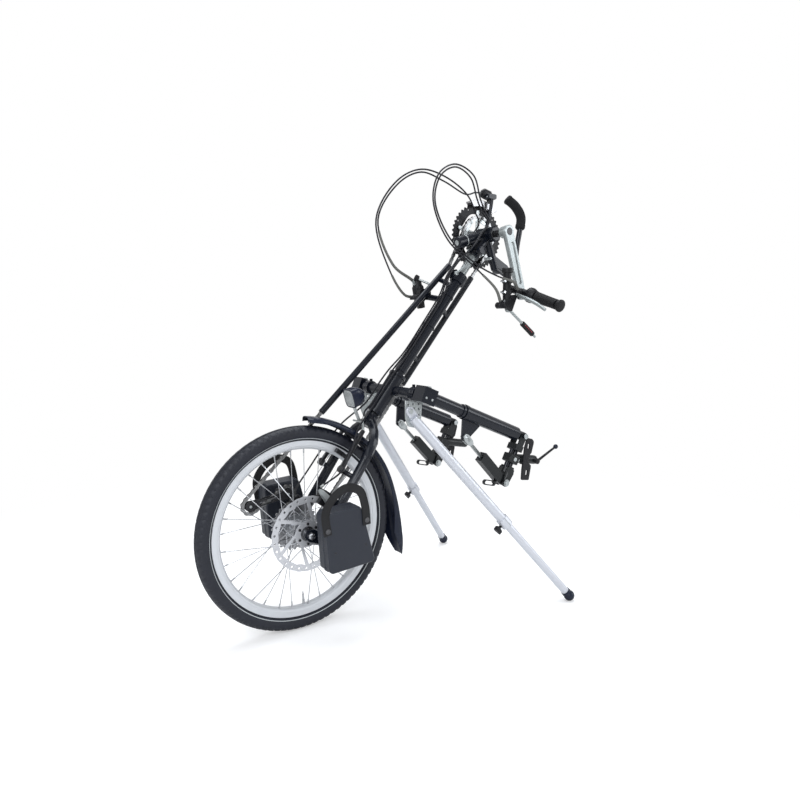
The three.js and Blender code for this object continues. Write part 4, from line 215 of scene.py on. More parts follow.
def finish_of(
    name, colour, rough, metal=0.0, coat=0.0, grain=900.0, depth=0.1, spread=0.25,
    stretch=(1, 1, 1), speck=None, edge=0.0, edge_colour=None, specular=0.5,
):
    """A worked surface: slow colour change, fine grain in the bump, specks of dust or
    scratches, softened edges, and a lighter rub along them."""
    made, tree, shader = material(name, rough, metal, coat, specular)

    def mixed(under, over, amount):
        inputs = {"A": under, "B": over, "Factor": amount}
        return add_node(tree, "ShaderNodeMix", inputs, data_type="RGBA").outputs["Result"]

    place = add_node(tree, "ShaderNodeTexCoord").outputs["Object"]
    place = add_node(tree, "ShaderNodeMapping", {"Vector": place, "Scale": stretch}).outputs["Vector"]
    inputs = {"Vector": place, "Grain": grain}
    worked = add_node(tree, "ShaderNodeGroup", inputs, node_tree=grain_tree).outputs
    dark = (*[c * (1 - spread) for c in colour], 1)
    light = (*[min(1, c * (1 + spread)) for c in colour], 1)
    tone = mixed(dark, light, worked["Broad"])
    if speck:
        tone = mixed(tone, (*speck, 1), worked["Specks"])
    bump = add_node(tree, "ShaderNodeBump", {"Strength": depth, "Distance": 0.0006, "Height": worked["Fine"]})
    if edge:
        worn = add_node(tree, "ShaderNodeGroup", {"Radius": edge}, node_tree=wear_tree).outputs
        tree.links.new(worn["Normal"], bump.inputs["Normal"])
    if edge_colour:
        tone = mixed(tone, (*edge_colour, 1), worn["Rub"])
    inputs = {"Value": worked["Broad"], "To Min": rough * 0.75, "To Max": min(1, rough * 1.25)}
    dull = add_node(tree, "ShaderNodeMapRange", inputs).outputs["Result"]
    tree.links.new(tone, shader.inputs["Base Color"])
    tree.links.new(dull, shader.inputs["Roughness"])
    tree.links.new(bump.outputs["Normal"], shader.inputs["Normal"])
    return made


def piece(name, mesh, paint, body, nodes=(), smooth=40):
    """A finished mesh object that rides on its body, or, when a span between two bodies is given
    instead, stays fixed where it was built; it stands for the frame's nodes."""
    bmesh.ops.recalc_face_normals(mesh, faces=mesh.faces)
    data = bpy.data.meshes.new(name)
    mesh.to_mesh(data)
    mesh.free()
    paints = paint if isinstance(paint, list) else [paint]
    for one in paints:
        data.materials.append(one)
    data.polygons.foreach_set("use_smooth", [True] * len(data.polygons))
    data.set_sharp_from_angle(angle=radians(smooth))
    made = bpy.data.objects.new(name, data)
    bpy.context.scene.collection.objects.link(made)
    if isinstance(body, str):
        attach(made, body)
    if nodes:
        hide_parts(*nodes)
    if not isinstance(body, str):
        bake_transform(made)
    return made


def metres(points):
    """An outline given in millimetres."""
    return [(u / 1000, w / 1000) for u, w in points]


def mirrored(half):
    """The whole outline, in metres, from its half on one side of the wheel in millimetres."""
    near = metres(half)
    return near + [(r, -y) for r, y in reversed(near[:-1])]


def turned(profile, steps):
    """A closed outline of (radius, place along the axle) spun into a full ring."""
    made = bmesh.new()
    verts = [made.verts.new(WHEEL + Vector((r, y, 0))) for r, y in profile]
    edges = [made.edges.new((verts[i - 1], verts[i])) for i in range(len(verts))]
    bmesh.ops.spin(
        made, geom=verts + edges, cent=WHEEL, axis=(0, 1, 0), dvec=(0, 0, 0),
        angle=2 * pi, steps=steps, use_merge=True, use_duplicate=False,
    )
    bmesh.ops.remove_doubles(made, verts=made.verts, dist=1e-6)
    return made


outer_half = [
    (203.6, 10.1), (209.9, 10.3), (211.4, 13.4), (213.6, 15.8), (214.2, 16.5), (215.6, 17.3), (216.2, 17.6),
    (219.5, 18.9), (223.5, 19.7), (227.5, 19.9), (231, 19.4), (234.2, 18), (237.2, 15.8), (239.6, 12.6),
    (241.3, 8.8), (242.2, 5.2), (241, 4.8), (241.2, 3.6), (242.7, 3.2), (243, 0),
]
inner_half = [(203.6, 7.4), (212.5, 7.2), (221, 15.5), (230, 15.5), (237.5, 9), (239, 0)]
tyre_mesh = turned(mirrored(outer_half) + mirrored(inner_half)[::-1], TREAD_STEPS)
# The crown's blocks dip at every fourth step, and slits cut the shoulders and the walls.
for vert in tyre_mesh.verts:
    out = Vector((vert.co.x - WHEEL.x, 0, vert.co.z - WHEEL.z))
    step = round(math.atan2(out.z, out.x) / (2 * pi) * TREAD_STEPS)
    reach, side = out.length, abs(vert.co.y)
    lag = SLIT_EVERY // 2 if vert.co.y > 0 else 0
    slit = (step + lag) % SLIT_EVERY == 0
    if reach > CROWN_FROM and side > 0.0045:
        if (step + lag + round(side * 300)) % SLIT_EVERY == 0:
            vert.co -= out.normalized() * BLOCK_DIP
    elif reach > SHOULDER_FROM and side > 0.0055 and slit:
        vert.co -= out.normalized() * SLIT_DEPTH
    elif WALL_FROM < reach <= SHOULDER_FROM and side > 0.019 and slit:
        vert.co.y *= WALL_DIP
rubber = finish_of(
    "tyre_rubber", (0.008, 0.010, 0.018), 0.55, grain=1600, depth=0.25, spread=0.3, speck=(0.05, 0.05, 0.05)
)
reflex = finish_of("tyre_reflective_line", (0.5, 0.53, 0.54), 0.4, grain=2500, depth=0.1)
# The reflective line is a narrow band of faces between two radii of each wall.
tyre = piece("tyre_with_tread", tyre_mesh, [rubber, reflex], "wheel", ["tyre"], 35)
for face in tyre.data.polygons:
    middle = face.center - WHEEL
    if LINE_FROM < math.hypot(middle.x, middle.z) < LINE_TO and abs(middle.y) > 0.0166:
        face.material_index = 1

# Rim: a drawn aluminium section with a machined brake track on each side, and the
# rubber tyre's bright valve standing in it.


def hose(mesh, line, radius, sides=12, ends=True):
    """A round tube along a line of points, of one radius or of one for each point, its
    ring carried on without twist."""
    radii = radius if isinstance(radius, list) else [radius] * len(line)
    rings = []
    side = None
    for i, (p, r) in enumerate(zip(line, radii)):
        ahead = (line[min(i + 1, len(line) - 1)] - line[max(i - 1, 0)]).normalized()
        if side is None:
            side = ahead.orthogonal().normalized()
        side = (side - ahead * side.dot(ahead)).normalized()
        other = ahead.cross(side)
        turns = [2 * pi * k / sides for k in range(sides)]
        rings.append([mesh.verts.new(p + (side * cos(a) + other * sin(a)) * r) for a in turns])
    for low, high in zip(rings, rings[1:]):
        for k in range(sides):
            mesh.faces.new((low[k], low[(k + 1) % sides], high[(k + 1) % sides], high[k]))
    if ends:
        mesh.faces.new(rings[0][::-1])
        mesh.faces.new(rings[-1])
    return rings


def lathed(mesh, start, way, steps, sides=24):
    """A turned bar on a straight axis, from (distance, radius) pairs in millimetres."""
    line = [start + way * (distance / 1000) for distance, _ in steps]
    return hose(mesh, line, [radius / 1000 for _, radius in steps], sides)


rim_half = [
    (189, 5.2), (189.1, 6.6), (190.2, 8.6), (192.8, 10.9), (196.8, 11.7), (197.4, 12.4), (208.9, 12.45),
    (209.5, 12), (209.5, 10.7), (203.1, 10.5), (198.2, 6.1), (198, 0),
]
silver_rim = finish_of(
    "rim_aluminium", (0.70, 0.72, 0.75), 0.4, metal=0.45, grain=1400, depth=0.08, spread=0.06,
    stretch=(1, 6, 1),
)
piece("rim_section", turned(mirrored(rim_half), 180), silver_rim, "wheel", ["rim"], 30)
valve = bmesh.new()
valve_out = Vector((sin(0.05), 0, -cos(0.05)))
valve_steps = ((190, 3), (178, 3), (177.9, 2.4), (164, 2.4), (163.9, 1.5), (158, 1.5))
lathed(valve, WHEEL, valve_out, valve_steps, 12)
chrome = finish_of("bright_steel", (0.55, 0.56, 0.58), 0.26, metal=1.0, grain=2400, depth=0.04, spread=0.08)
piece("valve", valve, chrome, "wheel")

# Hub and spokes: a turned aluminium shell with two flanges, and 32 steel spokes laced
# in crossed pairs, each with a nipple in the rim and a head in the flange.
SPOKES = 32
CROSSING = radians(62)
FLANGE_RADIUS, NIPPLE_RADIUS = 0.027, 0.1895
NEAR_FLANGE_Y, FAR_FLANGE_Y, BESIDE_FLANGE = -0.033, 0.018, 0.0024
ACROSS = Vector((0, 1, 0))


def around(centre, radius, angle, y=0.0):
    """A point at an angle about an axis that lies across the object."""
    return centre + Vector((radius * cos(angle), y, radius * sin(angle)))


shell_outline = [
    (6.4, -49.4), (16.2, -49.4), (16.4, -47.2), (20, -47), (20, -44.4), (19, -43.6), (15, -41), (14.6, -37.4),
    (16, -35.6), (28.6, -34.8), (29, -34), (29, -32), (28.6, -31.3), (17, -30.6), (14.8, -28), (14.4, -10),
    (15, 12), (17, 15.4), (28.6, 16.2), (29, 17), (29, 19), (28.6, 19.7), (17.2, 20.1), (16.9, 52.6),
    (15.8, 53), (6.4, 53),
]
wheel_metal = finish_of(
    "hub_aluminium", (0.5, 0.51, 0.53), 0.28, metal=0.95, grain=1500, depth=0.06, stretch=(1, 4, 1)
)
piece("hub_shell", turned(metres(shell_outline), 64), wheel_metal, "wheel", ["hub_and_spokes"], 35)
spokes, nipples = bmesh.new(), bmesh.new()
# The spokes go to the two flanges by turns, and cross in both directions from each.
for i in range(SPOKES):
    side = -1 if i % 2 == 0 else 1
    trail = 1 if (i // 2) % 2 == 0 else -1
    at_rim = 2 * pi * (i + 0.5) / SPOKES
    flange_y = (NEAR_FLANGE_Y if side < 0 else FAR_FLANGE_Y) + side * trail * BESIDE_FLANGE
    inner = around(WHEEL, FLANGE_RADIUS, at_rim + trail * CROSSING, flange_y)
    outer = around(WHEEL, NIPPLE_RADIUS, at_rim, side * 0.004)
    hose(spokes, [inner, outer], 0.001, 8)
    lathed(spokes, inner, ACROSS * -side * trail, ((0.6, 2), (-0.4, 2)), 8)
    inward = (inner - outer).normalized()
    lathed(nipples, outer, inward, ((12, 1.3), (11.5, 1.7), (3, 1.8), (0, 2.6)), 8)
piece("spokes", spokes, chrome, "wheel")
piece("spoke_nipples", nipples, wheel_metal, "wheel")

# Brake disc: a stamped steel ring with a row of holes, carried by six leaning arms on
# a round centre that six screws hold to the hub.
DISC_RADIUS, DISC_Y, DISC_THICKNESS = 0.0875, -0.0483, 0.002
DISC_ARMS, DISC_HOLES = 6, 27
WINDOW_INNER, WINDOW_OUTER, HOLE_CIRCLE = 0.031, 0.0735, 0.081


def disc_line(radius, steps, middle=(0, 0), waves=0, depth=0.0):
    """A round outline about a middle, its radius rising and falling in waves."""
    line = []
    for k in range(steps):
        a = 2 * pi * k / steps
        r = radius + depth * cos(waves * a)
        line.append((middle[0] + r * cos(a), middle[1] + r * sin(a)))
    return line


def hole_ring(count, reach, radius, steps, turn=0.0):
    """Round holes, evenly spaced on a circle."""
    angles = [2 * pi * k / count + turn for k in range(count)]
    return [disc_line(radius, steps, (reach * cos(a), reach * sin(a))) for a in angles]


def stamped(mesh, outline, holes, thickness, matrix, edge=0.0002):
    """A flat plate with holes and rounded edges, cut from a filled curve."""
    curve = bpy.data.curves.new("stamped", "CURVE")
    curve.dimensions = "2D"
    curve.fill_mode = "BOTH"
    curve.extrude = max(thickness / 2 - edge, 0)
    curve.bevel_depth = edge
    curve.bevel_resolution = 0
    curve.offset = -edge
    for loop in [outline, *holes]:
        spline = curve.splines.new("POLY")
        spline.points.add(len(loop) - 1)
        for k, (u, v) in enumerate(loop):
            spline.points[k].co = (u, v, 0, 1)
        spline.use_cyclic_u = True
    holder = bpy.data.objects.new("stamped", curve)
    data = bpy.data.meshes.new_from_object(holder)
    data.transform(matrix)
    part = bmesh.new()
    part.from_mesh(data)
    bmesh.ops.remove_doubles(part, verts=part.verts, dist=1e-6)
    part.to_mesh(data)
    part.free()
    mesh.from_mesh(data)
    bpy.data.objects.remove(holder)
    bpy.data.curves.remove(curve)
    bpy.data.meshes.remove(data)


def upright(place, turn=0.0):
    """Stands a flat plate at a place in the wheel's plane, turned about the axle's way."""
    return Matrix.Translation(place) @ Matrix.Rotation(pi / 2, 4, "X") @ Matrix.Rotation(turn, 4, "Z")


disc = bmesh.new()
windows = []
# Each window is the gap between two arms, which lean from the centre to the ring.
for i in range(DISC_ARMS):
    first = 360 / DISC_ARMS * i
    window = []
    for k in range(9):
        a = radians(first + 7 + 46 * k / 8)
        window.append((WINDOW_INNER * cos(a), WINDOW_INNER * sin(a)))
    for k in range(13):
        a = radians(first + 84.5 - 53 * k / 12)
        r = WINDOW_OUTER - 0.002 * abs(sin(k * pi / 4))
        window.append((r * cos(a), r * sin(a)))
    windows.append(window)
holes = windows + hole_ring(DISC_HOLES, HOLE_CIRCLE, 0.0029, 14) + [disc_line(0.0172, 40)]
disc_outline = disc_line(DISC_RADIUS, 8 * DISC_HOLES, waves=DISC_HOLES, depth=0.0005)
stamped(disc, disc_outline, holes, DISC_THICKNESS, upright(WHEEL + ACROSS * DISC_Y), 0.0001)
disc_metal = finish_of(
    "brake_disc_steel", (0.66, 0.67, 0.70), 0.36, metal=0.65, grain=1900, depth=0.08, spread=0.1
)
piece("brake_disc", disc, disc_metal, "wheel", ["disc_rotor"], 30)
screws = bmesh.new()
for k in range(6):
    seat = around(WHEEL, 0.0235, 2 * pi * (k + 0.5) / 6, -0.0494)
    lathed(screws, seat, -ACROSS, ((0, 3.3), (1.6, 3.3), (2.2, 2.2)), 12)
black_steel = finish_of(
    "blackened_steel", (0.03, 0.03, 0.033), 0.35, metal=0.6, coat=0.2, grain=1500, edge=0.0004,
    edge_colour=(0.3, 0.3, 0.31),
)
piece("disc_screws", screws, black_steel, "wheel")

# Cassette: seven toothed steel sprockets of falling size with thin spacers, on the
# freehub.
CHAIN_PITCH = 0.0127
TOOTH_HEIGHT = 0.0024
FIRST_SPROCKET_Y, SPROCKET_STEP, SPROCKET_THICKNESS = 0.0225, 0.0046, 0.0019


def pitch_radius(teeth):
    """The radius of the circle on which the chain's pins lie."""
    return CHAIN_PITCH / (2 * sin(pi / teeth))


def toothed(teeth):
    """A sprocket's outline, eight points to a tooth."""
    rises = (1.0, 0.92, 0.1, -0.85, -1.0, -0.85, 0.1, 0.92)
    shares = (0.0, 0.12, 0.24, 0.36, 0.5, 0.64, 0.76, 0.88)
    line = []
    for k in range(teeth):
        for share, rise in zip(shares, rises):
            a = 2 * pi * (k + share) / teeth
            r = pitch_radius(teeth) + TOOTH_HEIGHT * rise
            line.append((r * cos(a), r * sin(a)))
    return line


sprocket_steel = finish_of(
    "sprocket_steel", (0.36, 0.36, 0.37), 0.32, metal=1.0, grain=1700, spread=0.3, speck=(0.08, 0.07, 0.06)
)
sprockets = bmesh.new()
for i, teeth in enumerate((28, 25, 22, 19, 17, 15, 13)):
    openings = [disc_line(0.0185, 36)]
    if teeth > 18:
        openings += hole_ring(9, pitch_radius(teeth) - 0.0105, 0.0035, 12)
    place = WHEEL + ACROSS * (FIRST_SPROCKET_Y + i * SPROCKET_STEP)
    stamped(sprockets, toothed(teeth), openings, SPROCKET_THICKNESS, upright(place))
piece("cassette_sprockets", sprockets, sprocket_steel, "cassette", ["cassette"], 30)
spacer_outline = [(18.3, 23.5), (19.6, 23.5), (19.6, 51), (18.9, 51.2), (18.3, 51)]
piece("cassette_spacers", turned(metres(spacer_outline), 48), black_steel, "cassette")

# Fork, axle and the fittings that stay as modelled: each takes its own worked finish,
# with the flat faces made whole again and the edges softened.
ARM_SILVER_ABOVE = 0.452


def dressed(node, paint, smooth=42, above=math.inf):
    """The frame's node with clean faces and a worked finish; its faces above a height take
    the second finish of a list."""
    mesh = bmesh.new()
    mesh.from_mesh(frame["nodes"][node].data)
    bmesh.ops.remove_doubles(mesh, verts=mesh.verts, dist=1e-5)
    bmesh.ops.dissolve_limit(mesh, angle_limit=radians(0.6), verts=mesh.verts, edges=mesh.edges)
    for face in mesh.faces:
        face.material_index = int(face.calc_center_median().z > above)
    body = frame["nodes"][node]["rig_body"]
    return piece(node + "_finish", mesh, paint, body, [node], smooth)


frame_black = finish_of(
    "frame_powder_coat", (0.005, 0.007, 0.013), 0.26, coat=0.12, grain=700, depth=0.05, spread=0.15,
    speck=(0.02, 0.02, 0.024), edge=0.0006, edge_colour=(0.04, 0.04, 0.045), specular=0.3,
)
plastic = finish_of(
    "black_plastic", (0.008, 0.008, 0.010), 0.45, grain=1300, depth=0.2, edge=0.0004, specular=0.32
)
zinc = finish_of(
    "zinc_plate", (0.5, 0.53, 0.53), 0.36, metal=0.8, grain=1100, depth=0.1, spread=0.14, edge=0.0004
)
dock_black = finish_of(
    "dock_powder_coat", (0.008, 0.010, 0.011), 0.38, coat=0.08, grain=800, depth=0.12,
    speck=(0.04, 0.04, 0.04), edge=0.0005, edge_colour=(0.12, 0.12, 0.12), specular=0.32,
)
bright = finish_of(
    "polished_aluminium", (0.36, 0.39, 0.39), 0.34, metal=0.55, grain=1500, depth=0.05, spread=0.1,
    edge=0.0005,
)
dressed("axle", chrome)
for node in ("fork", "main_frame", "steering_column", "chain_guard_tube"):
    dressed(node, frame_black)
for side in ("left", "right"):
    dressed("dock_tube_" + side, frame_black)
    dressed("dock_link_" + side, dock_black, 50)
    dressed("strut_body_" + side, dock_black)
    dressed("strut_rod_" + side, zinc, 50)
    dressed("brake_arm_" + side, [black_steel, zinc], 50, ARM_SILVER_ABOVE)
dressed("column_neck", bright)
dressed("column_lever", bright)
dressed("disc_caliper", plastic)
dressed("caliper_arm", zinc)

# Chainset: two toothed steel rings of 42 and 26 teeth, the large one blackened, bolted to
# a bright five-armed spider, with sleeved bolts between them.
BIG_TEETH, SMALL_TEETH = 42, 26
BIG_RING_SHIFT, RING_THICKNESS = 0.007, 0.002
BOLT_CIRCLE, TIP_CIRCLE = 0.0445, 0.0655
CRANK_HEIGHT = 915
ARMS = 5
LEAN = radians(38.2)
UP_COLUMN = Vector((sin(LEAN), 0, cos(LEAN)))
BEHIND_COLUMN = Vector((cos(LEAN), 0, -sin(LEAN)))


def at(x, y, z):
    """A point given in millimetres behind the wheel's axle, across, and above the ground."""
    return Vector((x / 1000 + WHEEL_X, y / 1000, z / 1000))


def up_column(backward, y, height):
    """A point in millimetres behind the column's line, across, and up the column."""
    foot = WHEEL + BEHIND_COLUMN * ((6.6 + backward) / 1000)
    return foot + ACROSS * (y / 1000) + UP_COLUMN * (height / 1000)


def round_bar(mesh, start, end, radius, sides=24, chamfer=0.0006, end_radius=None):
    """A round bar with small chamfers at both ends."""
    along = (end - start).normalized()
    last = end_radius or radius
    line = [start, start + along * chamfer, end - along * chamfer, end]
    hose(mesh, line, [radius - chamfer, radius, last, last - chamfer], sides)


def cross_bar(mesh, place, first, last, radius, sides=24, chamfer=0.0006):
    """A round bar that lies across the object, from one distance beside a place to another."""
    round_bar(mesh, place + ACROSS * first, place + ACROSS * last, radius, sides, chamfer)


def arc(radius, first, last, step, middle=0.0):
    """Points of an arc about a middle on the plate's first axis, by angles in degrees."""
    turns = [radians(a) for a in range(first, last, step)]
    return [(middle + radius * cos(a), radius * sin(a)) for a in turns]


CRANK = up_column(0, 0, CRANK_HEIGHT)
CHAIN_Y = 0.0317
ON_CHAIN = CRANK + ACROSS * CHAIN_Y
teeth_black = finish_of(
    "ring_anodised", (0.006, 0.006, 0.008), 0.42, metal=0.2, specular=0.3, grain=1600, edge=0.0004,
    edge_colour=(0.35, 0.34, 0.32),
)
big_ring, small_ring, spider = bmesh.new(), bmesh.new(), bmesh.new()
ramps = hole_ring(10, 0.0765, 0.0018, 10, 0.1)
big_opening = disc_line(0.0595, 90, waves=ARMS, depth=-0.003)
small_opening = disc_line(0.0395, 72, waves=ARMS, depth=-0.002)
big_place = upright(ON_CHAIN + ACROSS * BIG_RING_SHIFT)
stamped(big_ring, toothed(BIG_TEETH), [big_opening] + ramps, RING_THICKNESS, big_place)
stamped(small_ring, toothed(SMALL_TEETH), [small_opening], RING_THICKNESS, upright(ON_CHAIN))
for k in range(ARMS):
    turn = 2 * pi * k / ARMS + radians(18)
    arm = [(0.010, -0.0085), (0.030, -0.0062), (0.058, -0.0052)]
    tip = [(0.066 + 0.0056 * cos(a), 0.0056 * sin(a)) for a in (-1.2, -0.8, -0.4, 0, 0.4, 0.8, 1.2)]
    arm_line = arm + tip + [(u, -v) for u, v in reversed(arm)]
    stamped(spider, arm_line, [], 0.0042, upright(ON_CHAIN + ACROSS * 0.0031, turn), 0.0006)
    cross_bar(spider, around(ON_CHAIN, BOLT_CIRCLE, turn), -0.0026, 0.0094, 0.0044, 12)
    cross_bar(spider, around(ON_CHAIN, TIP_CIRCLE, turn), 0.0012, 0.0094, 0.0042, 12)
cross_bar(spider, CRANK, CHAIN_Y - 0.001, 0.0618, 0.0158, 40)
piece("chainring_large", big_ring, teeth_black, "crank", ["chainset"], 30)
piece("chainring_small", small_ring, zinc, "crank", smooth=30)
piece("chainring_spider", spider, zinc, "crank", smooth=35)

# Chain: rivetted steel links of half-inch pitch, with rollers between inner and outer
# plates, closed over the rings, the guard tubes and the sprung pulleys.
JOCKEY_TEETH, DRIVEN_TEETH = 9, 22
GUIDE, TENSION = (-12, 320), (-105, 305)
PLATE_THICKNESS, ROLLER_RADIUS, PIN_RADIUS = 0.0010, 0.0038, 0.0017
CHAIN_SPLIT_HEIGHT = 0.5


def drive_line():
    """Points of the closed chain line, one pitch apart; each wheel or corner on the line
    is its place, its radius and the way in which the chain runs round it."""
    corners = [
        (CRANK, pitch_radius(SMALL_TEETH), 1), (at(470, 0, 875), 0, 1), (at(80, 0, 506.6), 0, 1),
        (at(TENSION[0], 0, TENSION[1]), pitch_radius(JOCKEY_TEETH), 1),
        (at(GUIDE[0], 0, GUIDE[1]), pitch_radius(JOCKEY_TEETH), -1), (WHEEL, pitch_radius(DRIVEN_TEETH), 1),
    ]
    runs = []
    for i, (a, radius_a, turn_a) in enumerate(corners):
        b, radius_b, turn_b = corners[(i + 1) % len(corners)]
        dx, dz = b.x - a.x, b.z - a.z
        lift = turn_b * radius_b - turn_a * radius_a
        span = dx * dx + dz * dz
        reach = math.sqrt(span - lift * lift)
        runs.append(((dx * reach + dz * lift) / span, (dz * reach - dx * lift) / span))
    line = []
    for i, (centre, radius, turn) in enumerate(corners):
        centre = Vector((centre.x, CHAIN_Y, centre.z))
        flip = pi if turn < 0 else 0
        first, last = [math.atan2(-x, z) + flip for x, z in (runs[i - 1], runs[i])]
        sweep = (last - first) % (2 * pi)
        if turn < 0:
            sweep -= 2 * pi
        steps = 41 if radius else 1
        line += [around(centre, radius, first + sweep * k / 40) for k in range(steps)]
    line.append(line[0])
    lengths = [0.0]
    for a, b in zip(line, line[1:]):
        lengths.append(lengths[-1] + (b - a).length)
    count = 2 * round(lengths[-1] / CHAIN_PITCH / 2)
    points, j = [], 0
    for k in range(count):
        place = lengths[-1] * k / count
        while lengths[j + 1] < place:
            j += 1
        share = (place - lengths[j]) / max(lengths[j + 1] - lengths[j], 1e-9)
        points.append(line[j].lerp(line[j + 1], share))
    return points


def link_outline(length, radius, waist):
    """A plate with two round ends and a waist between them."""
    turns = [radians(d) for d in (60, 105, 150, 180, 210, 255, 300)]
    left = [(-length / 2 + radius * cos(a), radius * sin(a)) for a in turns]
    right = [(-x, -y) for x, y in left]
    return left + [(0, -waist)] + right + [(0, waist)]


upper_links, lower_links = bmesh.new(), bmesh.new()
places = drive_line()
# Inner and outer plates follow by turns, with a roller and a pin at each place.
for k, here in enumerate(places):
    ahead = places[(k + 1) % len(places)]
    along = ahead - here
    chain = upper_links if (here.z + ahead.z) / 2 > CHAIN_SPLIT_HEIGHT else lower_links
    matrix = upright((here + ahead) / 2, math.atan2(along.z, along.x))
    inside, end_radius = (0.0018, 0.0041) if k % 2 else (0.0028, 0.0042)
    outline = link_outline(along.length, end_radius, 0.0029)
    for side in (-1, 1):
        sheets = []
        for depth in (inside, inside + PLATE_THICKNESS):
            sheets.append([chain.verts.new(matrix @ Vector((u, v, side * depth))) for u, v in outline])
            chain.faces.new(sheets[-1])
        for a in range(len(outline)):
            chain.faces.new((sheets[0][a - 1], sheets[0][a], sheets[1][a], sheets[1][a - 1]))
    hose(chain, [here - ACROSS * 0.0018, here + ACROSS * 0.0018], ROLLER_RADIUS, 8, ends=False)
    hose(chain, [here - ACROSS * 0.0043, here + ACROSS * 0.0043], PIN_RADIUS, 6)
chain_steel = finish_of(
    "chain_steel", (0.30, 0.30, 0.30), 0.3, metal=1.0, grain=1800, spread=0.35, speck=(0.05, 0.045, 0.04)
)
rising = ("steering", "crank_unit", up_column(0, 0, 560), up_column(0, 0, 850))
piece("roller_chain", upper_links, chain_steel, rising, ["chain"], 40)
swinging = ("steering", "derailleur_cage", at(GUIDE[0], 0, GUIDE[1]), at(-48, 0, 338))
piece("roller_chain_lower", lower_links, chain_steel, swinging, smooth=40)

# Crank arms: forged aluminium arms, the near one polished and the far one black, with
# a long recess, a rounded boss at each end and a bolt on the square spindle.
CRANK_LENGTH = 0.170
CRANK_Y = 0.085
NEAR_ANGLE, FAR_ANGLE = radians(-72), radians(-27)
groove = [
    (0.034, -0.0062), (0.134, -0.0042), (0.139, -0.0028), (0.139, 0.0028), (0.134, 0.0042), (0.034, 0.0062),
    (0.029, 0.004), (0.029, -0.004),
]
rim = arc(0.017, 60, 301, 24) + arc(0.0132, -84, 85, 24, CRANK_LENGTH)
for name, side, angle, paint, slot in (
    ("left", -1, NEAR_ANGLE, bright, "chrome"), ("right", 1, FAR_ANGLE, frame_black, "crank_black"),
):
    arm = bmesh.new()
    middle = CRANK + ACROSS * side * CRANK_Y
    end = around(CRANK, CRANK_LENGTH, angle)
    stamped(arm, rim, [], 0.0105, upright(middle - ACROSS * side * 0.0017, angle), 0.0018)
    stamped(arm, rim, [groove], 0.0052, upright(middle + ACROSS * side * 0.0043, angle), 0.0016)
    cross_bar(arm, end, side * 0.078, side * 0.1248, 0.0069, 20)
    cross_bar(arm, CRANK, side * 0.066, side * 0.0785, 0.0152, 32)
    piece("crank_arm_" + name, arm, paint, "crank", ["crank_" + name], 35)
    bolt = bmesh.new()
    cap_steps = ((90.5, 10.5), (91.9, 9.8), (92.1, 6.6), (89.5, 6.2))
    lathed(bolt, CRANK, ACROSS * side, cap_steps, 28)
    cross_bar(bolt, end, side * 0.0905, side * 0.0922, 0.008, 6)
    piece("crank_arm_" + name + "_bolts", bolt, black_steel, "crank")
spindle = bmesh.new()
cross_bar(spindle, CRANK, -0.084, 0.084, 0.0088)
cross_bar(spindle, CRANK, -0.0385, -0.0415, 0.0185, 8)
cross_bar(spindle, CRANK, 0.0245, 0.0275, 0.0185, 8)
piece("crank_spindle", spindle, black_steel, "crank")

# Left handle, all in black: a barrel that turns on the crank's pin, a bracket, an upright
# post with a cap and bolted clamps, the bar for the levers and the grip, and the perch of
# the lever.
HANDLE_Y, BAR_END_Y = 112, 245
BAR_START, BAR_END = at(600, -HANDLE_Y, 802), at(603, -BAR_END_Y, 762)
BAR = (BAR_END - BAR_START).normalized()
PIN_END = around(CRANK, CRANK_LENGTH, NEAR_ANGLE)
CLAMP_HEIGHTS = (776, 800, 828)
UP = Vector((0, 0, 1))


def on_post(z):
    """A point on the upright post, at a height in millimetres."""
    return at(546, -HANDLE_Y, z)


near_handle = bmesh.new()
cross_bar(near_handle, PIN_END, -0.0946, -0.1256, 0.0128, 32, 0.0012)
round_bar(near_handle, PIN_END - ACROSS * (HANDLE_Y / 1000), on_post(812), 0.0096)
round_bar(near_handle, on_post(765.5), on_post(856), 0.0107, 32)
lathed(near_handle, on_post(849), UP, ((0, 13.2), (1, 14.2), (11, 14.2), (12.8, 12)), 32)
round_bar(near_handle, BAR_START, BAR_END - BAR * 0.001, 0.0098)
for z in CLAMP_HEIGHTS:
    lathed(near_handle, on_post(z), UP, ((-5, 12.2), (-4.4, 12.8), (4.4, 12.8), (5, 12.2)), 28)
foot_plate = link_outline(0.032, 0.0085, 0.0078)
stamped(near_handle, foot_plate, [], 0.0175, upright(at(536, -HANDLE_Y, 766)), 0.0016)
round_bar(near_handle, at(570, -124, 805), at(582, -124, 787), 0.0085, 20, 0.001)
perch_line = metres([
    (-26, -10), (-21, -15), (0, -27), (6, -26), (12, -12), (22, 10), (19, 15), (12, 16), (-10, 4), (-24, -4),
])
stamped(near_handle, perch_line, [], 0.015, upright(at(551, -117, 778)), 0.0025)
hose(near_handle, [at(523, -112.6, 775), at(534, -114, 771)], [0.0046, 0.0062], 24)
piece("handle_left_body", near_handle, plastic, "handle_left", ["handle_left"], 35)
clamp_bolts = bmesh.new()
for z in CLAMP_HEIGHTS:
    seat = at(531, -119, z)
    cross_bar(clamp_bolts, seat, 0, 0.014, 0.0026, 10, 0.0004)
    cross_bar(clamp_bolts, seat, -0.0025, 0, 0.0042, 6, 0.0004)
cross_bar(clamp_bolts, PIN_END, -0.126, -0.1285, 0.0088, 6)
piece("handle_left_bolts", clamp_bolts, chrome, "handle_left")

# Left grip: moulded rubber with fine rings, a waist and a raised end knob, beside the
# ribbed sleeve of the twist shifter.
GRIP_START_Y, GRIP_STEPS, KNOB_STEP = -164, 81, 66


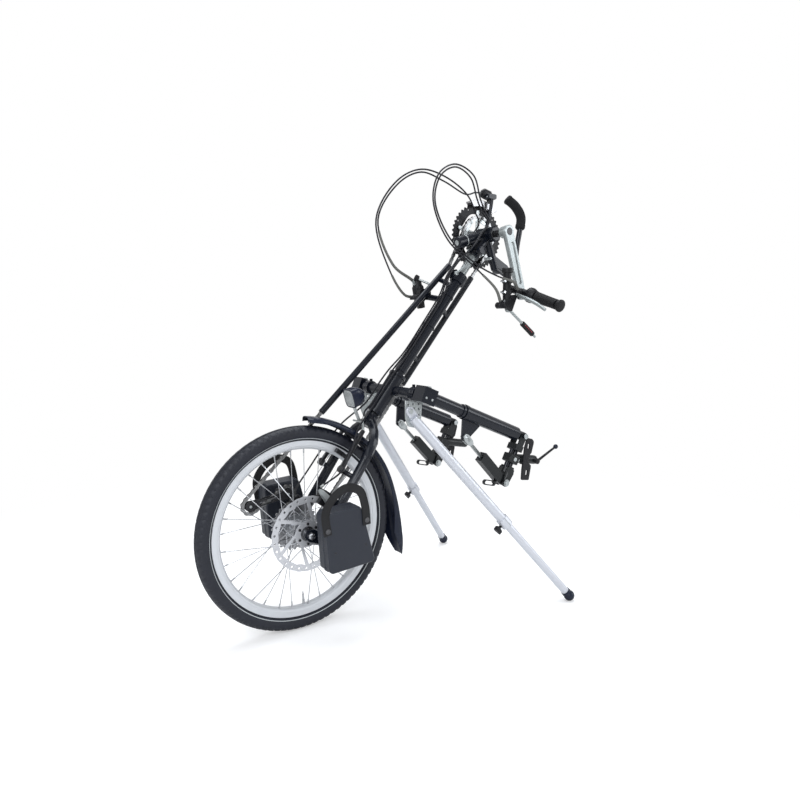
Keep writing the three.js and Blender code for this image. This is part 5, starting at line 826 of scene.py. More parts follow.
def on_bar(y):
    """The point of the bar's line at a place across the object, in millimetres."""
    return BAR_START.lerp(BAR_END, (y + HANDLE_Y) / (HANDLE_Y - BAR_END_Y))


rubber_grip = finish_of("grip_rubber", (0.007, 0.007, 0.008), 0.55, grain=1500, depth=0.35, specular=0.3)
line, radii = [], []
for k in range(GRIP_STEPS):
    line.append(on_bar(GRIP_START_Y - k))
    radius = 0.0146 - 0.0016 * min(1, k / 50)
    if k > KNOB_STEP:
        radius = 0.0085 + 0.0072 * sin(min(1, (k - KNOB_STEP) / 11) * pi / 2)
    if k % 3 == 0 and k < KNOB_STEP - 2:
        radius -= 0.0007
    radii.append(radius)
radii[-1] = 0.0146
grip = bmesh.new()
hose(grip, line + [BAR_END + BAR * 0.0002], radii + [0.011], 40)
piece("grip_left_rubber", grip, rubber_grip, "handle_left", ["grip_left"], 60)
sleeve = bmesh.new()
sleeve_steps = [
    (-138, 15.2), (-138.6, 19.2), (-140, 19.9), (-147, 19.9), (-150, 19.2), (-153, 17.2), (-160.5, 15.5),
    (-161, 14.6),
]
rings = hose(sleeve, [on_bar(y) for y, _ in sleeve_steps], [r / 1000 for _, r in sleeve_steps], 60)
for ring in rings[1:5]:
    for vert in ring[::3]:
        vert.co = vert.co.lerp(on_bar(vert.co.y * 1000), 0.05)
piece("twist_shifter_sleeve", sleeve, plastic, "twist_shifter", ["twist_shifter"], 50)

# Brake lever: a polished cast blade on its pivot, with the curve and the rounded end
# that two fingers hold.


def flow(points, steps):
    """Points of a smooth line that passes through the given ones."""
    given = [Vector(p) for p in points]
    given = [given[0] * 2 - given[1]] + given + [given[-1] * 2 - given[-2]]
    made = []
    for a, b, c, d in zip(given, given[1:], given[2:], given[3:]):
        t1 = max((b - a).length ** 0.5, 1e-6)
        t2 = t1 + max((c - b).length ** 0.5, 1e-6)
        t3 = t2 + max((d - c).length ** 0.5, 1e-6)
        for k in range(steps):
            t = t1 + (t2 - t1) * k / steps
            ab = a.lerp(b, t / t1)
            bc = b.lerp(c, (t - t1) / (t2 - t1))
            cd = c.lerp(d, (t - t2) / (t3 - t2))
            abc = ab.lerp(bc, t / t2)
            bcd = bc.lerp(cd, (t - t1) / (t3 - t1))
            made.append(abc.lerp(bcd, (t - t1) / (t2 - t1)))
    return made + [given[-2]]


PIVOT = at(572, -124, 796)
blade = bmesh.new()
blade_line = flow([PIVOT, at(565, -140, 790), at(562, -170, 781), at(559, -205, 768), at(560, -232, 753)], 8)
blade_radii = [0.0036 + 0.0012 * sin(pi * k / 32) + 0.0004 * k / 32 for k in range(33)]
hose(blade, blade_line, blade_radii, 16)
pivot_way = Vector((1, 0, 0)).cross(BAR).normalized()
round_bar(blade, PIVOT - pivot_way * 0.0037, PIVOT + pivot_way * 0.0037, 0.0068)
round_bar(blade, PIVOT - pivot_way * 0.011, PIVOT + pivot_way * 0.011, 0.0029, 14, 0.0004)
piece("brake_lever_blade", blade, bright, "brake_lever", ["brake_lever"], 50)

# Parking lever: a bright steel rod with a black rubber sleeve that has a red line on it,
# and a bare tip, turning on a pin at the foot of the post.
PARKING_PIN, PARKING_TIP = at(552, -112, 758), at(653, -112, 684)


def on_parking(share):
    """A point of the lever, at a share of its length from the pin."""
    return PARKING_PIN.lerp(PARKING_TIP, share)


lever_rod, lever_sleeve, red_line = bmesh.new(), bmesh.new(), bmesh.new()
hose(lever_rod, [on_parking(k) for k in (0, 0.12, 0.5, 1)], [0.0037, 0.0037, 0.0037, 0.0030], 16)
cross_bar(lever_rod, PARKING_PIN, -0.0042, 0.0042, 0.0094)
sleeve_line = [on_parking(k) for k in (0.5, 0.505, 0.52, 0.88, 0.9, 0.905)]
hose(lever_sleeve, sleeve_line, [0.0048, 0.0064, 0.0072, 0.0074, 0.0068, 0.0048], 24)
along = PARKING_TIP - PARKING_PIN
line_shift = along.normalized().cross(-ACROSS).normalized() * 0.001 - ACROSS * 0.0068
for k in range(5):
    mark = on_parking(0.56 + k * 0.055) + line_shift
    hose(red_line, [mark, mark + along * 0.035], 0.0009, 8)
piece("parking_lever_rod", lever_rod, bright, "parking_lever", ["parking_lever"], 50)
piece("parking_lever_sleeve", lever_sleeve, rubber_grip, "parking_lever", smooth=60)
red_paint = finish_of("red_line", (0.45, 0.01, 0.03), 0.4, grain=1200)
piece("parking_lever_line", red_line, red_paint, "parking_lever")

# Right handle: a bent black rod with a closed-cell foam grip that bulges at both ends.
# The rod turns on the far crank's pin, and the foam is pushed over its upper half.
FOAM_FROM_STEP = 40
FAR_PIN = around(CRANK, CRANK_LENGTH, FAR_ANGLE)
foam = finish_of("grip_foam", (0.010, 0.010, 0.011), 0.85, grain=1900, depth=0.8, spread=0.4, specular=0.3)
far_handle = bmesh.new()
bends = (
    (765, 112, 868), (790, 112, 905), (800, 112, 960), (811, 113, 1008), (816, 115, 1045), (800, 122, 1075),
    (772, 132, 1098),
)
far_run = flow([FAR_PIN + ACROSS * (HANDLE_Y / 1000)] + [at(*bend) for bend in bends], 10)
hose(far_handle, far_run, 0.0083, 24)
cross_bar(far_handle, FAR_PIN, 0.0946, 0.1256, 0.0127, 32, 0.0012)
piece("handle_right_rod", far_handle, frame_black, "handle_right", ["handle_right"], 50)
soft_grip = bmesh.new()
foam_run = far_run[FOAM_FROM_STEP:]
foam_radii = []
for k in range(len(foam_run)):
    share = k / (len(foam_run) - 1)
    bulge = 0.0010 if share < 0.12 or share > 0.93 else 0
    foam_radii.append(0.0138 + 0.0008 * (1 - abs(2 * share - 1)) + bulge)
foam_radii[0] = foam_radii[-1] = 0.0122
hose(soft_grip, foam_run, foam_radii, 32)
foam_grip = piece("grip_right_foam", soft_grip, foam, "handle_right", ["grip_right"], 70)

# Stand legs: two-stage aluminium tubes with a slit clamp collar, a winged screw, a
# pinned tongue at the top and a black ball foot.
TONGUE_LENGTH, FOOT_RADIUS = 0.040, 0.0139


def box_line(half_u, half_v, middle=(0, 0)):
    """A rectangle about a middle."""
    corners = ((-1, -1), (1, -1), (1, 1), (-1, 1))
    return [(middle[0] + a * half_u, middle[1] + b * half_v) for a, b in corners]


leg_silver = finish_of(
    "leg_aluminium", (0.66, 0.68, 0.73), 0.4, metal=0.4, grain=1200, depth=0.06, spread=0.05,
    stretch=(1, 1, 6), edge=0.0004,
)
gloss = finish_of(
    "gloss_black", (0.010, 0.014, 0.030), 0.26, coat=0.06, grain=1100, depth=0.03, edge=0.0005, specular=0.28
)
for side, sign in (("left", -1), ("right", 1)):
    top, foot = at(245, sign * 105, 505), at(643, sign * 265, 14)
    leg = (foot - top).normalized()
    collar = top.lerp(foot, 0.59)
    body, lower_body, screw_body = "stand_" + side, "leg_lower_" + side, "leg_screw_" + side
    upper = bmesh.new()
    hose(upper, [top + leg * 0.0125, collar], 0.0124, 40)
    lathed(upper, collar, leg, ((-26, 14.7), (-25.3, 15.4), (-0.7, 15.4), (0, 14.7)), 40)
    tongue_pin = at(243, sign * 108.3, 513)
    tongue = arc(0.011, 90, 271, 20) + arc(0.011, -90, 91, 20, TONGUE_LENGTH)
    leaning = upright(tongue_pin, math.atan2(leg.z, leg.x))
    stamped(upper, tongue, [disc_line(0.0040, 16)], 0.0058, leaning, 0.0008)
    piece("leg_upper_tube_" + side, upper, leg_silver, body, ["leg_upper_" + side], 35)
    slit = bmesh.new()
    out = Vector((leg.z, 0, -leg.x)).normalized()
    beside = out.cross(leg).normalized()
    along_leg = Matrix((leg, beside, out)).transposed().to_4x4()
    for way in (-1, 1):
        spot = collar - leg * 0.013 + beside * way * 0.0149
        place = Matrix.Translation(spot) @ along_leg @ Matrix.Rotation(pi / 2, 4, "X")
        stamped(slit, box_line(0.0125, 0.0008), [], 0.0012, place, 0.0001)
    for spot in (tongue_pin, tongue_pin + leg * 0.0266):
        cross_bar(slit, spot, sign * 0.0028, sign * 0.0062, 0.0068, 6)
    piece("leg_bolts_" + side, slit, zinc, body)
    lower = bmesh.new()
    hose(lower, [collar - leg * 0.09, foot - leg * 0.009], 0.0101, 36)
    piece("leg_lower_tube_" + side, lower, leg_silver, lower_body, [lower_body], 35)
    ball_foot = bmesh.new()
    bmesh.ops.create_uvsphere(ball_foot, u_segments=32, v_segments=20, radius=FOOT_RADIUS)
    bmesh.ops.translate(ball_foot, verts=ball_foot.verts, vec=foot)
    lathed(ball_foot, foot, -leg, ((10, 12.2), (17.5, 11.8), (18, 10.8)), 32)
    piece("leg_foot_" + side, ball_foot, gloss, lower_body, smooth=60)
    screw = bmesh.new()
    screw_at = collar - leg * 0.013
    hose(screw, [screw_at + out * 0.0104, screw_at + out * 0.024], 0.0038, 16)
    wing = []
    for k in range(36):
        a = 2 * pi * k / 36
        reach = 0.0118 - 0.0034 * abs(sin(1.5 * a))
        wing.append((reach * cos(a) * 1.12, reach * sin(a) * 0.8))
    stamped(screw, wing, [], 0.0115, Matrix.Translation(screw_at + out * 0.0272) @ along_leg, 0.0014)
    piece("leg_screw_knob_" + side, screw, plastic, screw_body, [screw_body], 40)

# Docking arms: a painted sleeve over each sliding tube, with an end band, and a bolt
# with its nut at the hinge.
CROSS_TUBE_X, CROSS_TUBE_Z = 262, 552
HINGE_X, HINGE_Z, BEAM_Y = 573, 427, 143
BEAM_WAY = (at(HINGE_X, 0, HINGE_Z) - at(CROSS_TUBE_X, 0, CROSS_TUBE_Z)).normalized()
band_steps = ((124.5, 18.4), (125.2, 19), (134, 19), (134.5, 17.8), (318, 17.8), (318.6, 17.1))
for side, sign in (("left", -1), ("right", 1)):
    arm_sleeve = bmesh.new()
    lathed(arm_sleeve, at(CROSS_TUBE_X, sign * BEAM_Y, CROSS_TUBE_Z), BEAM_WAY, band_steps, 48)
    piece("dock_sleeve_" + side, arm_sleeve, frame_black, "dock_tube_" + side, smooth=35)
    hinge_bolt = bmesh.new()
    hinge = at(HINGE_X, sign * BEAM_Y, HINGE_Z)
    cross_bar(hinge_bolt, hinge, sign * 0.0215, sign * 0.0250, 0.0075, 6)
    cross_bar(hinge_bolt, hinge, -sign * 0.0215, -sign * 0.0242, 0.0070, 20)
    piece("dock_hinge_bolts_" + side, hinge_bolt, zinc, "dock_tube_" + side)

# Side boxes: moulded plastic cases with a raised belt round the middle and two screws in
# the face, each hung from a webbing strap with two domed rivets and a stitched border.
STRAP_HALF, STITCH_LINE = 9.9, 7.9
BOX_Y, STRAP_Y = 0.114, 0.13955
CORNER_CUT = 1.6
case_plastic = finish_of(
    "case_plastic", (0.013, 0.017, 0.028), 0.46, grain=1700, depth=0.5, spread=0.1, speck=(0.1, 0.1, 0.1),
    edge=0.0008, edge_colour=(0.09, 0.1, 0.11),
)
webbing = finish_of("strap_webbing", (0.008, 0.008, 0.009), 0.75, grain=1500, depth=0.5, stretch=(1, 3, 1))
rivet_metal = finish_of("rivet_steel", (0.10, 0.10, 0.105), 0.3, metal=0.8, grain=1500, edge=0.0005)
box_corners = [(6, 308), (86, 313), (93, 306), (125, 186), (120, 179), (16, 172), (9, 178), (0, 301)]
lid_corners = [(4.6, 303.5), (7, 309.2), (85.6, 314.2), (90.6, 309.5)]
strap_bends = [(4, 262), (0, 315), (25, 350), (55, 362), (85, 350), (98, 315), (103, 270)]
rivet_steps = ((0, 6), (0.9, 6), (1.2, 5.4), (1.2, 4.2), (2, 3.8), (2.6, 2.6), (2.8, 1.2))
for side, sign, dx, dz in (("left", -1, 0, 0), ("right", 1, -45, 22)):
    outward = ACROSS * sign
    shell = []
    for k, corner in enumerate(box_corners):
        here = Vector(corner)
        for other in (Vector(box_corners[k - 1]), Vector(box_corners[(k + 1) % len(box_corners)])):
            u, w = here.lerp(other, min(0.3, CORNER_CUT / (other - here).length))
            shell.append(at(u + dx, 0, w + dz).xz)
    middle = sum(shell, Vector((0, 0))) / len(shell)
    belt = [middle + (p - middle) * 1.02 for p in shell]
    lid = [at(u + dx, 0, w + dz).xz for u, w in lid_corners]
    box_mesh = bmesh.new()
    stamped(box_mesh, shell, [], 0.048, upright(outward * BOX_Y), 0.0022)
    stamped(box_mesh, belt, [], 0.0060, upright(outward * BOX_Y), 0.0008)
    stamped(box_mesh, lid, [], 0.0468, upright(outward * BOX_Y), 0.0012)
    piece("side_box_case_" + side, box_mesh, case_plastic, "steering", ["side_box_" + side], 35)
    fixings = bmesh.new()
    for u, w in ((24, 219), (101, 224)):
        lathed(fixings, at(u + dx, sign * 138, w + dz), outward, ((-0.4, 2.4), (0.4, 2.4), (0.6, 1.7)), 14)
    piece("side_box_screws_" + side, fixings, black_steel, "steering")
    route = flow([at(u + dx, 0, w + dz) for u, w in strap_bends], 10)
    normals = []
    for k in range(len(route)):
        way = (route[min(k + 1, len(route) - 1)] - route[max(k - 1, 0)]).normalized()
        normals.append(Vector((-way.z, 0, way.x)))
    stitches = bmesh.new()
    for k in range(2, len(route) - 2, 2):
        for edge in (1, -1):
            shift = normals[k] * edge * STITCH_LINE / 1000 + outward * 0.141
            hose(stitches, [route[k] + shift, route[k + 1] + shift], 0.0004, 5)
    edges = [[(p + n * way * STRAP_HALF / 1000).xz for p, n in zip(route, normals)] for way in (1, -1)]
    band = bmesh.new()
    stamped(band, edges[0] + edges[1][::-1], [], 0.0025, upright(outward * STRAP_Y), 0.0006)
    piece("strap_webbing_" + side, band, webbing, "steering", ["box_strap_" + side], 40)
    piece("strap_stitches_" + side, stitches, plastic, "steering")
    domes = bmesh.new()
    for u, w in ((4, 272), (103, 281)):
        lathed(domes, at(u + dx, sign * 140.8, w + dz), outward, rivet_steps, 28)
    piece("strap_rivets_" + side, domes, rivet_metal, "steering", smooth=50)

# Fender: a channel moulded in gloss black plastic, with a low crown, rolled edges and
# rounded ends. At the rear it runs out into a flap that flares away from the tyre.
FENDER_RADIUS, FENDER_WALL = 262.5, 1.9
NOSE_ANGLE, FLAP_ANGLE, FLAP_SWEEP = 85, 21, 43.6
crown_half = [(-28, -9.5), (-27.6, -4), (-26, -1.2), (-20, 0.6), (-11, 1.7), (0, 2.1)]
crown = crown_half + [(-y, rise) for y, rise in crown_half[-2::-1]]
stations = []
# The front part follows the tyre, and the rear part runs out into the flap.
for k in range(32):
    start = max(0.0, 1 - k / 3) ** 2
    stations.append((NOSE_ANGLE - k * 2, FENDER_RADIUS, 1 - 0.45 * start, 1.0))
for k in range(28):
    share = k / 27
    end = max(0.0, (share - 0.74) / 0.26)
    lip = (1 + 3.6 * share ** 2.2) * (1 - end) + 0.1 * end
    width = 1 + 0.08 * share - 0.5 * end ** 2
    stations.append((FLAP_ANGLE - FLAP_SWEEP * share, FENDER_RADIUS + 46 * share ** 2.3, width, lip))
fender_mesh = bmesh.new()
rings = []
for a, reach, width, lip in stations:
    outline = [(y * width, reach + rise * (lip if rise < 0 else 1)) for y, rise in crown]
    outline += [(y * 0.94, r - FENDER_WALL) for y, r in reversed(outline)]
    rings.append([fender_mesh.verts.new(around(WHEEL, r / 1000, radians(a), y / 1000)) for y, r in outline])
for low, high in zip(rings, rings[1:]):
    for k in range(len(low)):
        fender_mesh.faces.new((low[k - 1], low[k], high[k], high[k - 1]))
fender_mesh.faces.new(rings[0][::-1])
fender_mesh.faces.new(rings[-1])
round_bar(fender_mesh, up_column(0, 0, 263.5), up_column(0, 0, 274), 0.005, 16)
piece("fender_channel", fender_mesh, gloss, "steering", ["fender"], 45)

# Headlight: a rounded square lamp with a ribbed clear lens in a gloss black bezel, a
# moulded housing behind it, and a bracket of folded steel plate to the fork crown.
LAMP = at(152, -10, 546)
LAMP_WAY = Vector((-1, 0, -0.29)).normalized()
LAMP_UP = Vector((LAMP_WAY.z, 0, -LAMP_WAY.x))
LENS_RIBS = 6


def lofted(mesh, stations, u, v, square, sides=40):
    """Rounded-square rings of (centre, half width, half height) joined into a body, their
    widths along u and their heights along v."""
    power = 2 / square
    rings = []
    for centre, half_u, half_v in stations:
        ring = []
        for k in range(sides):
            a = 2 * pi * (k + 0.5) / sides
            c = math.copysign(abs(cos(a)) ** power, cos(a))
            d = math.copysign(abs(sin(a)) ** power, sin(a))
            ring.append(mesh.verts.new(centre + u * half_u * c + v * half_v * d))
        rings.append(ring)
    for low, high in zip(rings, rings[1:]):
        for k in range(sides):
            mesh.faces.new((low[k - 1], low[k], high[k], high[k - 1]))
    mesh.faces.new(rings[0][::-1])
    mesh.faces.new(rings[-1])


def lamp_body(steps):
    """A body on the lamp's axis, from (distance, half width) pairs in millimetres."""
    made = bmesh.new()
    stations = [(LAMP + LAMP_WAY * (d / 1000), r / 1000, r * 0.00102) for d, r in steps]
    lofted(made, stations, ACROSS, LAMP_UP, 4.5)
    return made


housing = lamp_body([
    (-19.5, 6), (-19, 9.5), (-12, 16.5), (-3, 21.2), (4, 22.2), (15.2, 22.6), (16, 21.8),
])
piece("headlight_housing", housing, gloss, "steering", ["headlight"], 40)
bezel = lamp_body([(15.4, 22.1), (15.6, 23.2), (18.6, 23.2), (19.6, 22.2), (19.2, 20.5), (16.5, 20.3)])
piece("headlight_bezel", bezel, gloss, "steering", smooth=45)
lens = lamp_body([(16, 20.4), (18.6, 20.4), (19.6, 18), (20.1, 10)])
for k in range(-LENS_RIBS, LENS_RIBS + 1):
    mark = LAMP + LAMP_WAY * 0.0197 + ACROSS * (k * 0.0028)
    reach = 0.0172 if abs(k) < LENS_RIBS else 0.014
    hose(lens, [mark - LAMP_UP * reach, mark + LAMP_UP * reach], 0.0008, 6)
lens_glass = finish_of("lamp_lens", (0.40, 0.42, 0.42), 0.3, metal=0.1, coat=0.5, grain=500, depth=0.3)
piece("headlight_lens", lens, lens_glass, "steering", smooth=60)
bracket = bmesh.new()
knee = at(150, -4, 521)
for a, b in ((up_column(-23.5, 0, 292), knee), (knee, LAMP - LAMP_UP * 0.022)):
    lofted(bracket, [(p, 0.0075, 0.0014) for p in (a, b)], ACROSS, (b - a).normalized().cross(ACROSS), 6, 24)
cross_bar(bracket, knee, -0.011, 0.011, 0.0042, 6)
piece("headlight_bracket", bracket, zinc, "steering")

# Gear selector: a ribbed black plastic drum on its stub, with a clamp band, a thumb knob
# on a bright shaft and two plated cable stops.
DRUM_FOOT, DRUM_TOP = at(412, 79, 762), at(396, 79, 836)
BACK = Vector((1, 0, 0))
selector = bmesh.new()
drum_steps = [
    (0, 10), (0.02, 10.8), (0.20, 11.2), (0.26, 14.5), (0.29, 15.7), (0.74, 15.7), (0.77, 14.7), (0.82, 12.4),
    (0.97, 12.4), (1, 11),
]
centres = [DRUM_FOOT.lerp(DRUM_TOP, share) for share, _ in drum_steps]
rings = hose(selector, centres, [r / 1000 for _, r in drum_steps], 48)
for ring, centre in list(zip(rings, centres))[3:7]:
    for vert in ring[::3]:
        vert.co = vert.co.lerp(centre, 0.07)
lofted(selector, [(at(403, y, 797), 0.0180, 0.0145) for y in (47, 48, 63, 64)], BACK, UP, 4, 32)
cover = ((420, 807, 0.007), (411, 803, 0.0130), (384, 792, 0.0145), (374, 789, 0.010))
lofted(selector, [(at(x, 66, z), r, r * 0.8) for x, z, r in cover], ACROSS, Vector((0.6, 0, 0.8)), 3.5, 28)
piece("selector_drum", selector, plastic, "steering", ["column_shifter"], 40)
stops = bmesh.new()
for a, b in ((at(379, 75, 835), at(392, 77, 822)), (at(388, 79, 790), at(398, 79, 800))):
    round_bar(stops, a, b, 0.0042, 16)
round_bar(stops, at(396, 70, 838), at(425, 48, 822), 0.0032, 14)
piece("selector_stops", stops, zinc, "steering")
knob = bmesh.new()
knob_way = Vector((-0.8, 0.4, 0.45)).normalized()
lathed(knob, at(396, 70, 838), knob_way, ((0, 7), (1, 8.5), (10, 8.8), (12, 6)))
piece("selector_knob", knob, plastic, "steering")

# Stand brackets: perforated steel plates, zinc-plated, on black-painted collars that turn
# on the cross tube. A small lock screw stands on the inner, narrower collar of each pair.
plate_line = metres([
    (-17, -60), (-14, -62.5), (10, -69), (13, -68), (22, -44), (24.8, -3), (23.5, 0), (-23.5, 0), (-24.8, -2),
    (-24.6, -42),
])
plate_spots = metres([
    (-16, -10), (-2, -9), (14, -9), (15, -22), (1, -20), (15, -36), (3, -34), (12, -50), (0, -60), (-15, -22),
])
for side, sign in (("left", -1), ("right", 1)):
    plate = bmesh.new()
    holes = [disc_line(0.0027, 14, spot) for spot in plate_spots]
    stamped(plate, plate_line, holes, 0.004, upright(at(257, sign * 103, 538.1)), 0.0006)
    piece("stand_plate_" + side, plate, zinc, "stand_" + side, ["stand_bracket_" + side], 35)
    collars = bmesh.new()
    for y0, y1 in ((92.2, 101), (101.4, 113.8)):
        steps = ((y0, 16.9), (y0 + 0.6, 17.5), (y1 - 0.6, 17.5), (y1, 16.9))
        lathed(collars, at(CROSS_TUBE_X, 0, CROSS_TUBE_Z), ACROSS * sign, steps, 40)
    round_bar(collars, at(262, sign * 97, 567), at(262, sign * 97, 575), 0.0042, 6)
    piece("stand_collar_" + side, collars, frame_black, "stand_" + side, smooth=35)

# Frame clamps: a painted block on the link's bars, a painted cross cylinder with a turned
# cap, the bent black channel that takes the chair's tube, and a lever with a ball end.
LINK_WAY = Vector((-62, 0, -116)).normalized()
BALL_RADIUS = 0.0065
LINK_BESIDE = Vector((-LINK_WAY.z, 0, LINK_WAY.x))
block = metres([
    (-11, -15.5), (-9.5, -17), (9.5, -17), (11, -15.5), (11, 15.5), (9.5, 17), (-9.5, 17), (-11, 15.5),
])
channel = metres([
    (-14, -54), (-11, -56), (12, -56), (14, -54), (16, -20), (15, -16), (10, -13), (5.5, -10), (4, -7),
    (4, 6), (6, 10), (12, 17), (16, 44), (14.5, 49), (8, 54), (-7, 56), (-11, 54), (-16, 31), (-16, -29),
])
channel_slots = [box_line(0.003, 0.006, (-0.002, 0.034)), box_line(0.003, 0.006, (0.002, -0.036))]
for side, sign in (("left", -1), ("right", 1)):
    body = "frame_clamp_" + side
    clamp = bmesh.new()
    link_turn = math.atan2(LINK_WAY.z, LINK_WAY.x)
    stamped(clamp, block, [], 0.0298, upright(at(542, sign * BEAM_Y, 369), link_turn), 0.0022)
    start, end = at(550, sign * BEAM_Y, 369), at(630, sign * BEAM_Y, 355)
    length = (end - start).length * 1000
    cylinder_steps = (
        (length, 11.9), (30, 11.9), (29.2, 11.2), (28.6, 11.2), (27.8, 11.9), (3.5, 11.9), (3, 11.3),
        (0.8, 11.3), (0, 10.4),
    )
    lathed(clamp, end, (start - end).normalized(), cylinder_steps, 36)
    stamped(clamp, box_line(0.008, 0.009), [], 0.0158, upright(at(578, sign * 153, 361)), 0.002)
    piece("clamp_body_" + side, clamp, dock_black, body, [body], 35)
    pad = bmesh.new()
    stamped(pad, channel, channel_slots, 0.0058, upright(at(586, sign * 159, 365), radians(-8)), 0.0014)
    piece("clamp_channel_" + side, pad, plastic, body, smooth=35)
    fixings = bmesh.new()
    for x, y, z, r in ((542, 156.2, 369, 0.0058), (556, 153.2, 365, 0.0042)):
        cross_bar(fixings, at(x, sign * y, z), 0, sign * 0.0046, r, 6)
    piece("clamp_bolts_" + side, fixings, zinc, body)
    handle = bmesh.new()
    seat = at(622, sign * BEAM_Y, 355)
    cross_bar(handle, seat, -sign * 0.0118, sign * 0.0125, 0.0039, 16)
    lathed(handle, seat, ACROSS * sign, ((12.4, 7.2), (13, 8), (20.5, 7.6), (21, 6.6)), 28)
    start = seat + ACROSS * sign * 0.017
    tip = start + Vector((0.062, sign * 0.008, 0.034))
    round_bar(handle, start, tip, 0.0037, 18, 0.0003, 0.0029)
    lever = "clamp_lever_" + side
    piece("clamp_lever_arm_" + side, handle, plastic, lever, [lever], 35)
    ball = bmesh.new()
    bmesh.ops.create_uvsphere(ball, u_segments=24, v_segments=16, radius=BALL_RADIUS)
    bmesh.ops.translate(ball, verts=ball.verts, vec=tip)
    piece("clamp_lever_ball_" + side, ball, gloss, lever, smooth=60)
    bars = bmesh.new()
    for k in (-1, 1):
        bar_top = at(HINGE_X, sign * BEAM_Y, HINGE_Z) + LINK_BESIDE * 0.0075 * k
        round_bar(bars, bar_top + LINK_WAY * 0.036, bar_top + LINK_WAY * 0.0985, 0.0056, 28)
    piece("link_bars_" + side, bars, frame_black, "dock_link_" + side, smooth=35)
    pins = bmesh.new()
    for way in (-1, 1):
        cross_bar(pins, at(511, sign * BEAM_Y, 311), way * 0.0186, way * 0.0222, 0.0072, 6)
        cross_bar(pins, at(511, sign * BEAM_Y, 311), way * 0.0182, way * 0.0188, 0.0095, 24, 0.0001)
    piece("link_pins_" + side, pins, zinc, "dock_link_" + side)

# Crank housing, painted black: the shell for the spindle bearings, a socket on the neck,
# a short boom with a bright ring and an end cap, a rear post with its knob, and a slim arm
# for the front derailleur.
BOOM_END, POST_END = at(470, 0, 931), at(606, 0, 868)
BOOM_WAY, POST_WAY = (BOOM_END - CRANK).normalized(), (POST_END - CRANK).normalized()
MECH = CRANK + Vector((0.0312, 0.020, 0.108))
housing_shell = bmesh.new()
shell_steps = (
    (0, 19.2), (0.8, 20.4), (5.5, 20.4), (6, 19.8), (56, 19.8), (56.5, 20.4), (61.2, 20.4), (62, 19.2),
)
lathed(housing_shell, CRANK - ACROSS * 0.038, ACROSS, shell_steps, 48)
socket_steps = ((838.2, 16.4), (839, 17.4), (846, 17.4), (846.6, 16.8), (912, 16.8))
lathed(housing_shell, up_column(0, 0, 0), UP_COLUMN, socket_steps, 40)
hose(housing_shell, [CRANK, BOOM_END - BOOM_WAY * 0.0300], 0.0146, 40)
lathed(housing_shell, BOOM_END, -BOOM_WAY, ((26.8, 14.8), (26.2, 15.6), (1.2, 15.6), (0, 14)), 40)
post_reach = (POST_END - CRANK).length * 1000
post_steps = ((12, 11.2), (52, 11.2), (52.6, 10.4), (post_reach - 0.8, 10.4), (post_reach, 9.8))
lathed(housing_shell, CRANK, POST_WAY, post_steps, 32)
knob_seat = up_column(-8.8, 0, 849)
hose(housing_shell, [knob_seat, knob_seat - ACROSS * 0.03168], 0.0055, 20)
lathed(housing_shell, knob_seat, -ACROSS, ((31.68, 10.8), (32.34, 12), (42.68, 12), (44, 10.4)), 30)
arm_bends = [
    CRANK + Vector((0.010, 0.012, 0.015)), CRANK + Vector((0.020, 0.0135, 0.045)),
    CRANK + Vector((0.029, 0.0140, 0.078)), MECH + Vector((0, -0.0075, -0.006)),
]
hose(housing_shell, flow(arm_bends, 8), 0.0048, 20)
lug_stations = [(MECH - ACROSS * y, 0.0135, 0.0065) for y in (0.0118, 0.0112, 0.0066, 0.0060)]
lofted(housing_shell, lug_stations, BACK, UP, 5, 28)
ear = [(-0.006, -0.0065), (0.0045, -0.0065), (0.0065, 0), (0.0045, 0.0065), (-0.006, 0.0065)]
for way in (-1, 1):
    place = Matrix.Translation(MECH + Vector((way * 0.012, -0.002, 0))) @ Matrix.Rotation(pi / 2, 4, "Z")
    place = place @ Matrix.Rotation(pi / 2, 4, "X")
    stamped(housing_shell, ear, [disc_line(0.0028, 12)], 0.0036, place, 0.0005)
piece("crank_housing_shell", housing_shell, frame_black, "crank_unit", ["crank_housing"], 35)
trim = bmesh.new()
lathed(trim, BOOM_END, -BOOM_WAY, ((30, 15), (29.7, 15.9), (27, 15.9), (26.7, 15)), 40)
lathed(trim, BOOM_END, BOOM_WAY, ((-1, 7.2), (0.6, 7), (1, 5.8)))
round_bar(trim, MECH - BACK * 0.0128, MECH + BACK * 0.0128, 0.0027, 14)
for reach in (0.0600, 0.0635):
    cross_bar(trim, CRANK + POST_WAY * reach + Vector((-0.014, 0, -0.004)), -0.0135, 0.0135, 0.0022, 10)
piece("crank_housing_trim", trim, zinc, "crank_unit", smooth=35)

# Front derailleur: two pressed steel cage plates joined over the rings, on a moulded link
# box with a ribbed cover and a cable clamp.
CAGE_TOP = 0.098
COVER = MECH + Vector((-0.004, 0.0115, 0.0075))
COVER_U, COVER_V = Vector((0.97, 0, -0.24)), Vector((0.24, 0, 0.97))
cage = bmesh.new()
sector = arc(CAGE_TOP, 50, 113, 4) + arc(0.081, 110, 51, -5)
for y in (-0.00645, 0.01155):
    stamped(cage, sector, [], 0.0015, upright(ON_CHAIN + ACROSS * y), 0.0004)
for low, high in ((50, 58), (101, 112)):
    bridge = arc(CAGE_TOP, low, high + 1, 2) + arc(0.0935, high, low - 1, -2)
    stamped(cage, bridge, [], 0.018, upright(ON_CHAIN + ACROSS * 0.00255), 0.0005)
mech_body = "front_derailleur"
piece("front_derailleur_cage", cage, sprocket_steel, mech_body, [mech_body], 35)
link = bmesh.new()
lathed(link, MECH, BACK, ((-9.7, 6.2), (-9.2, 6.9), (9.2, 6.9), (9.7, 6.2)), 28)
link_place = Vector((MECH.x, CHAIN_Y - 0.0058, MECH.z))
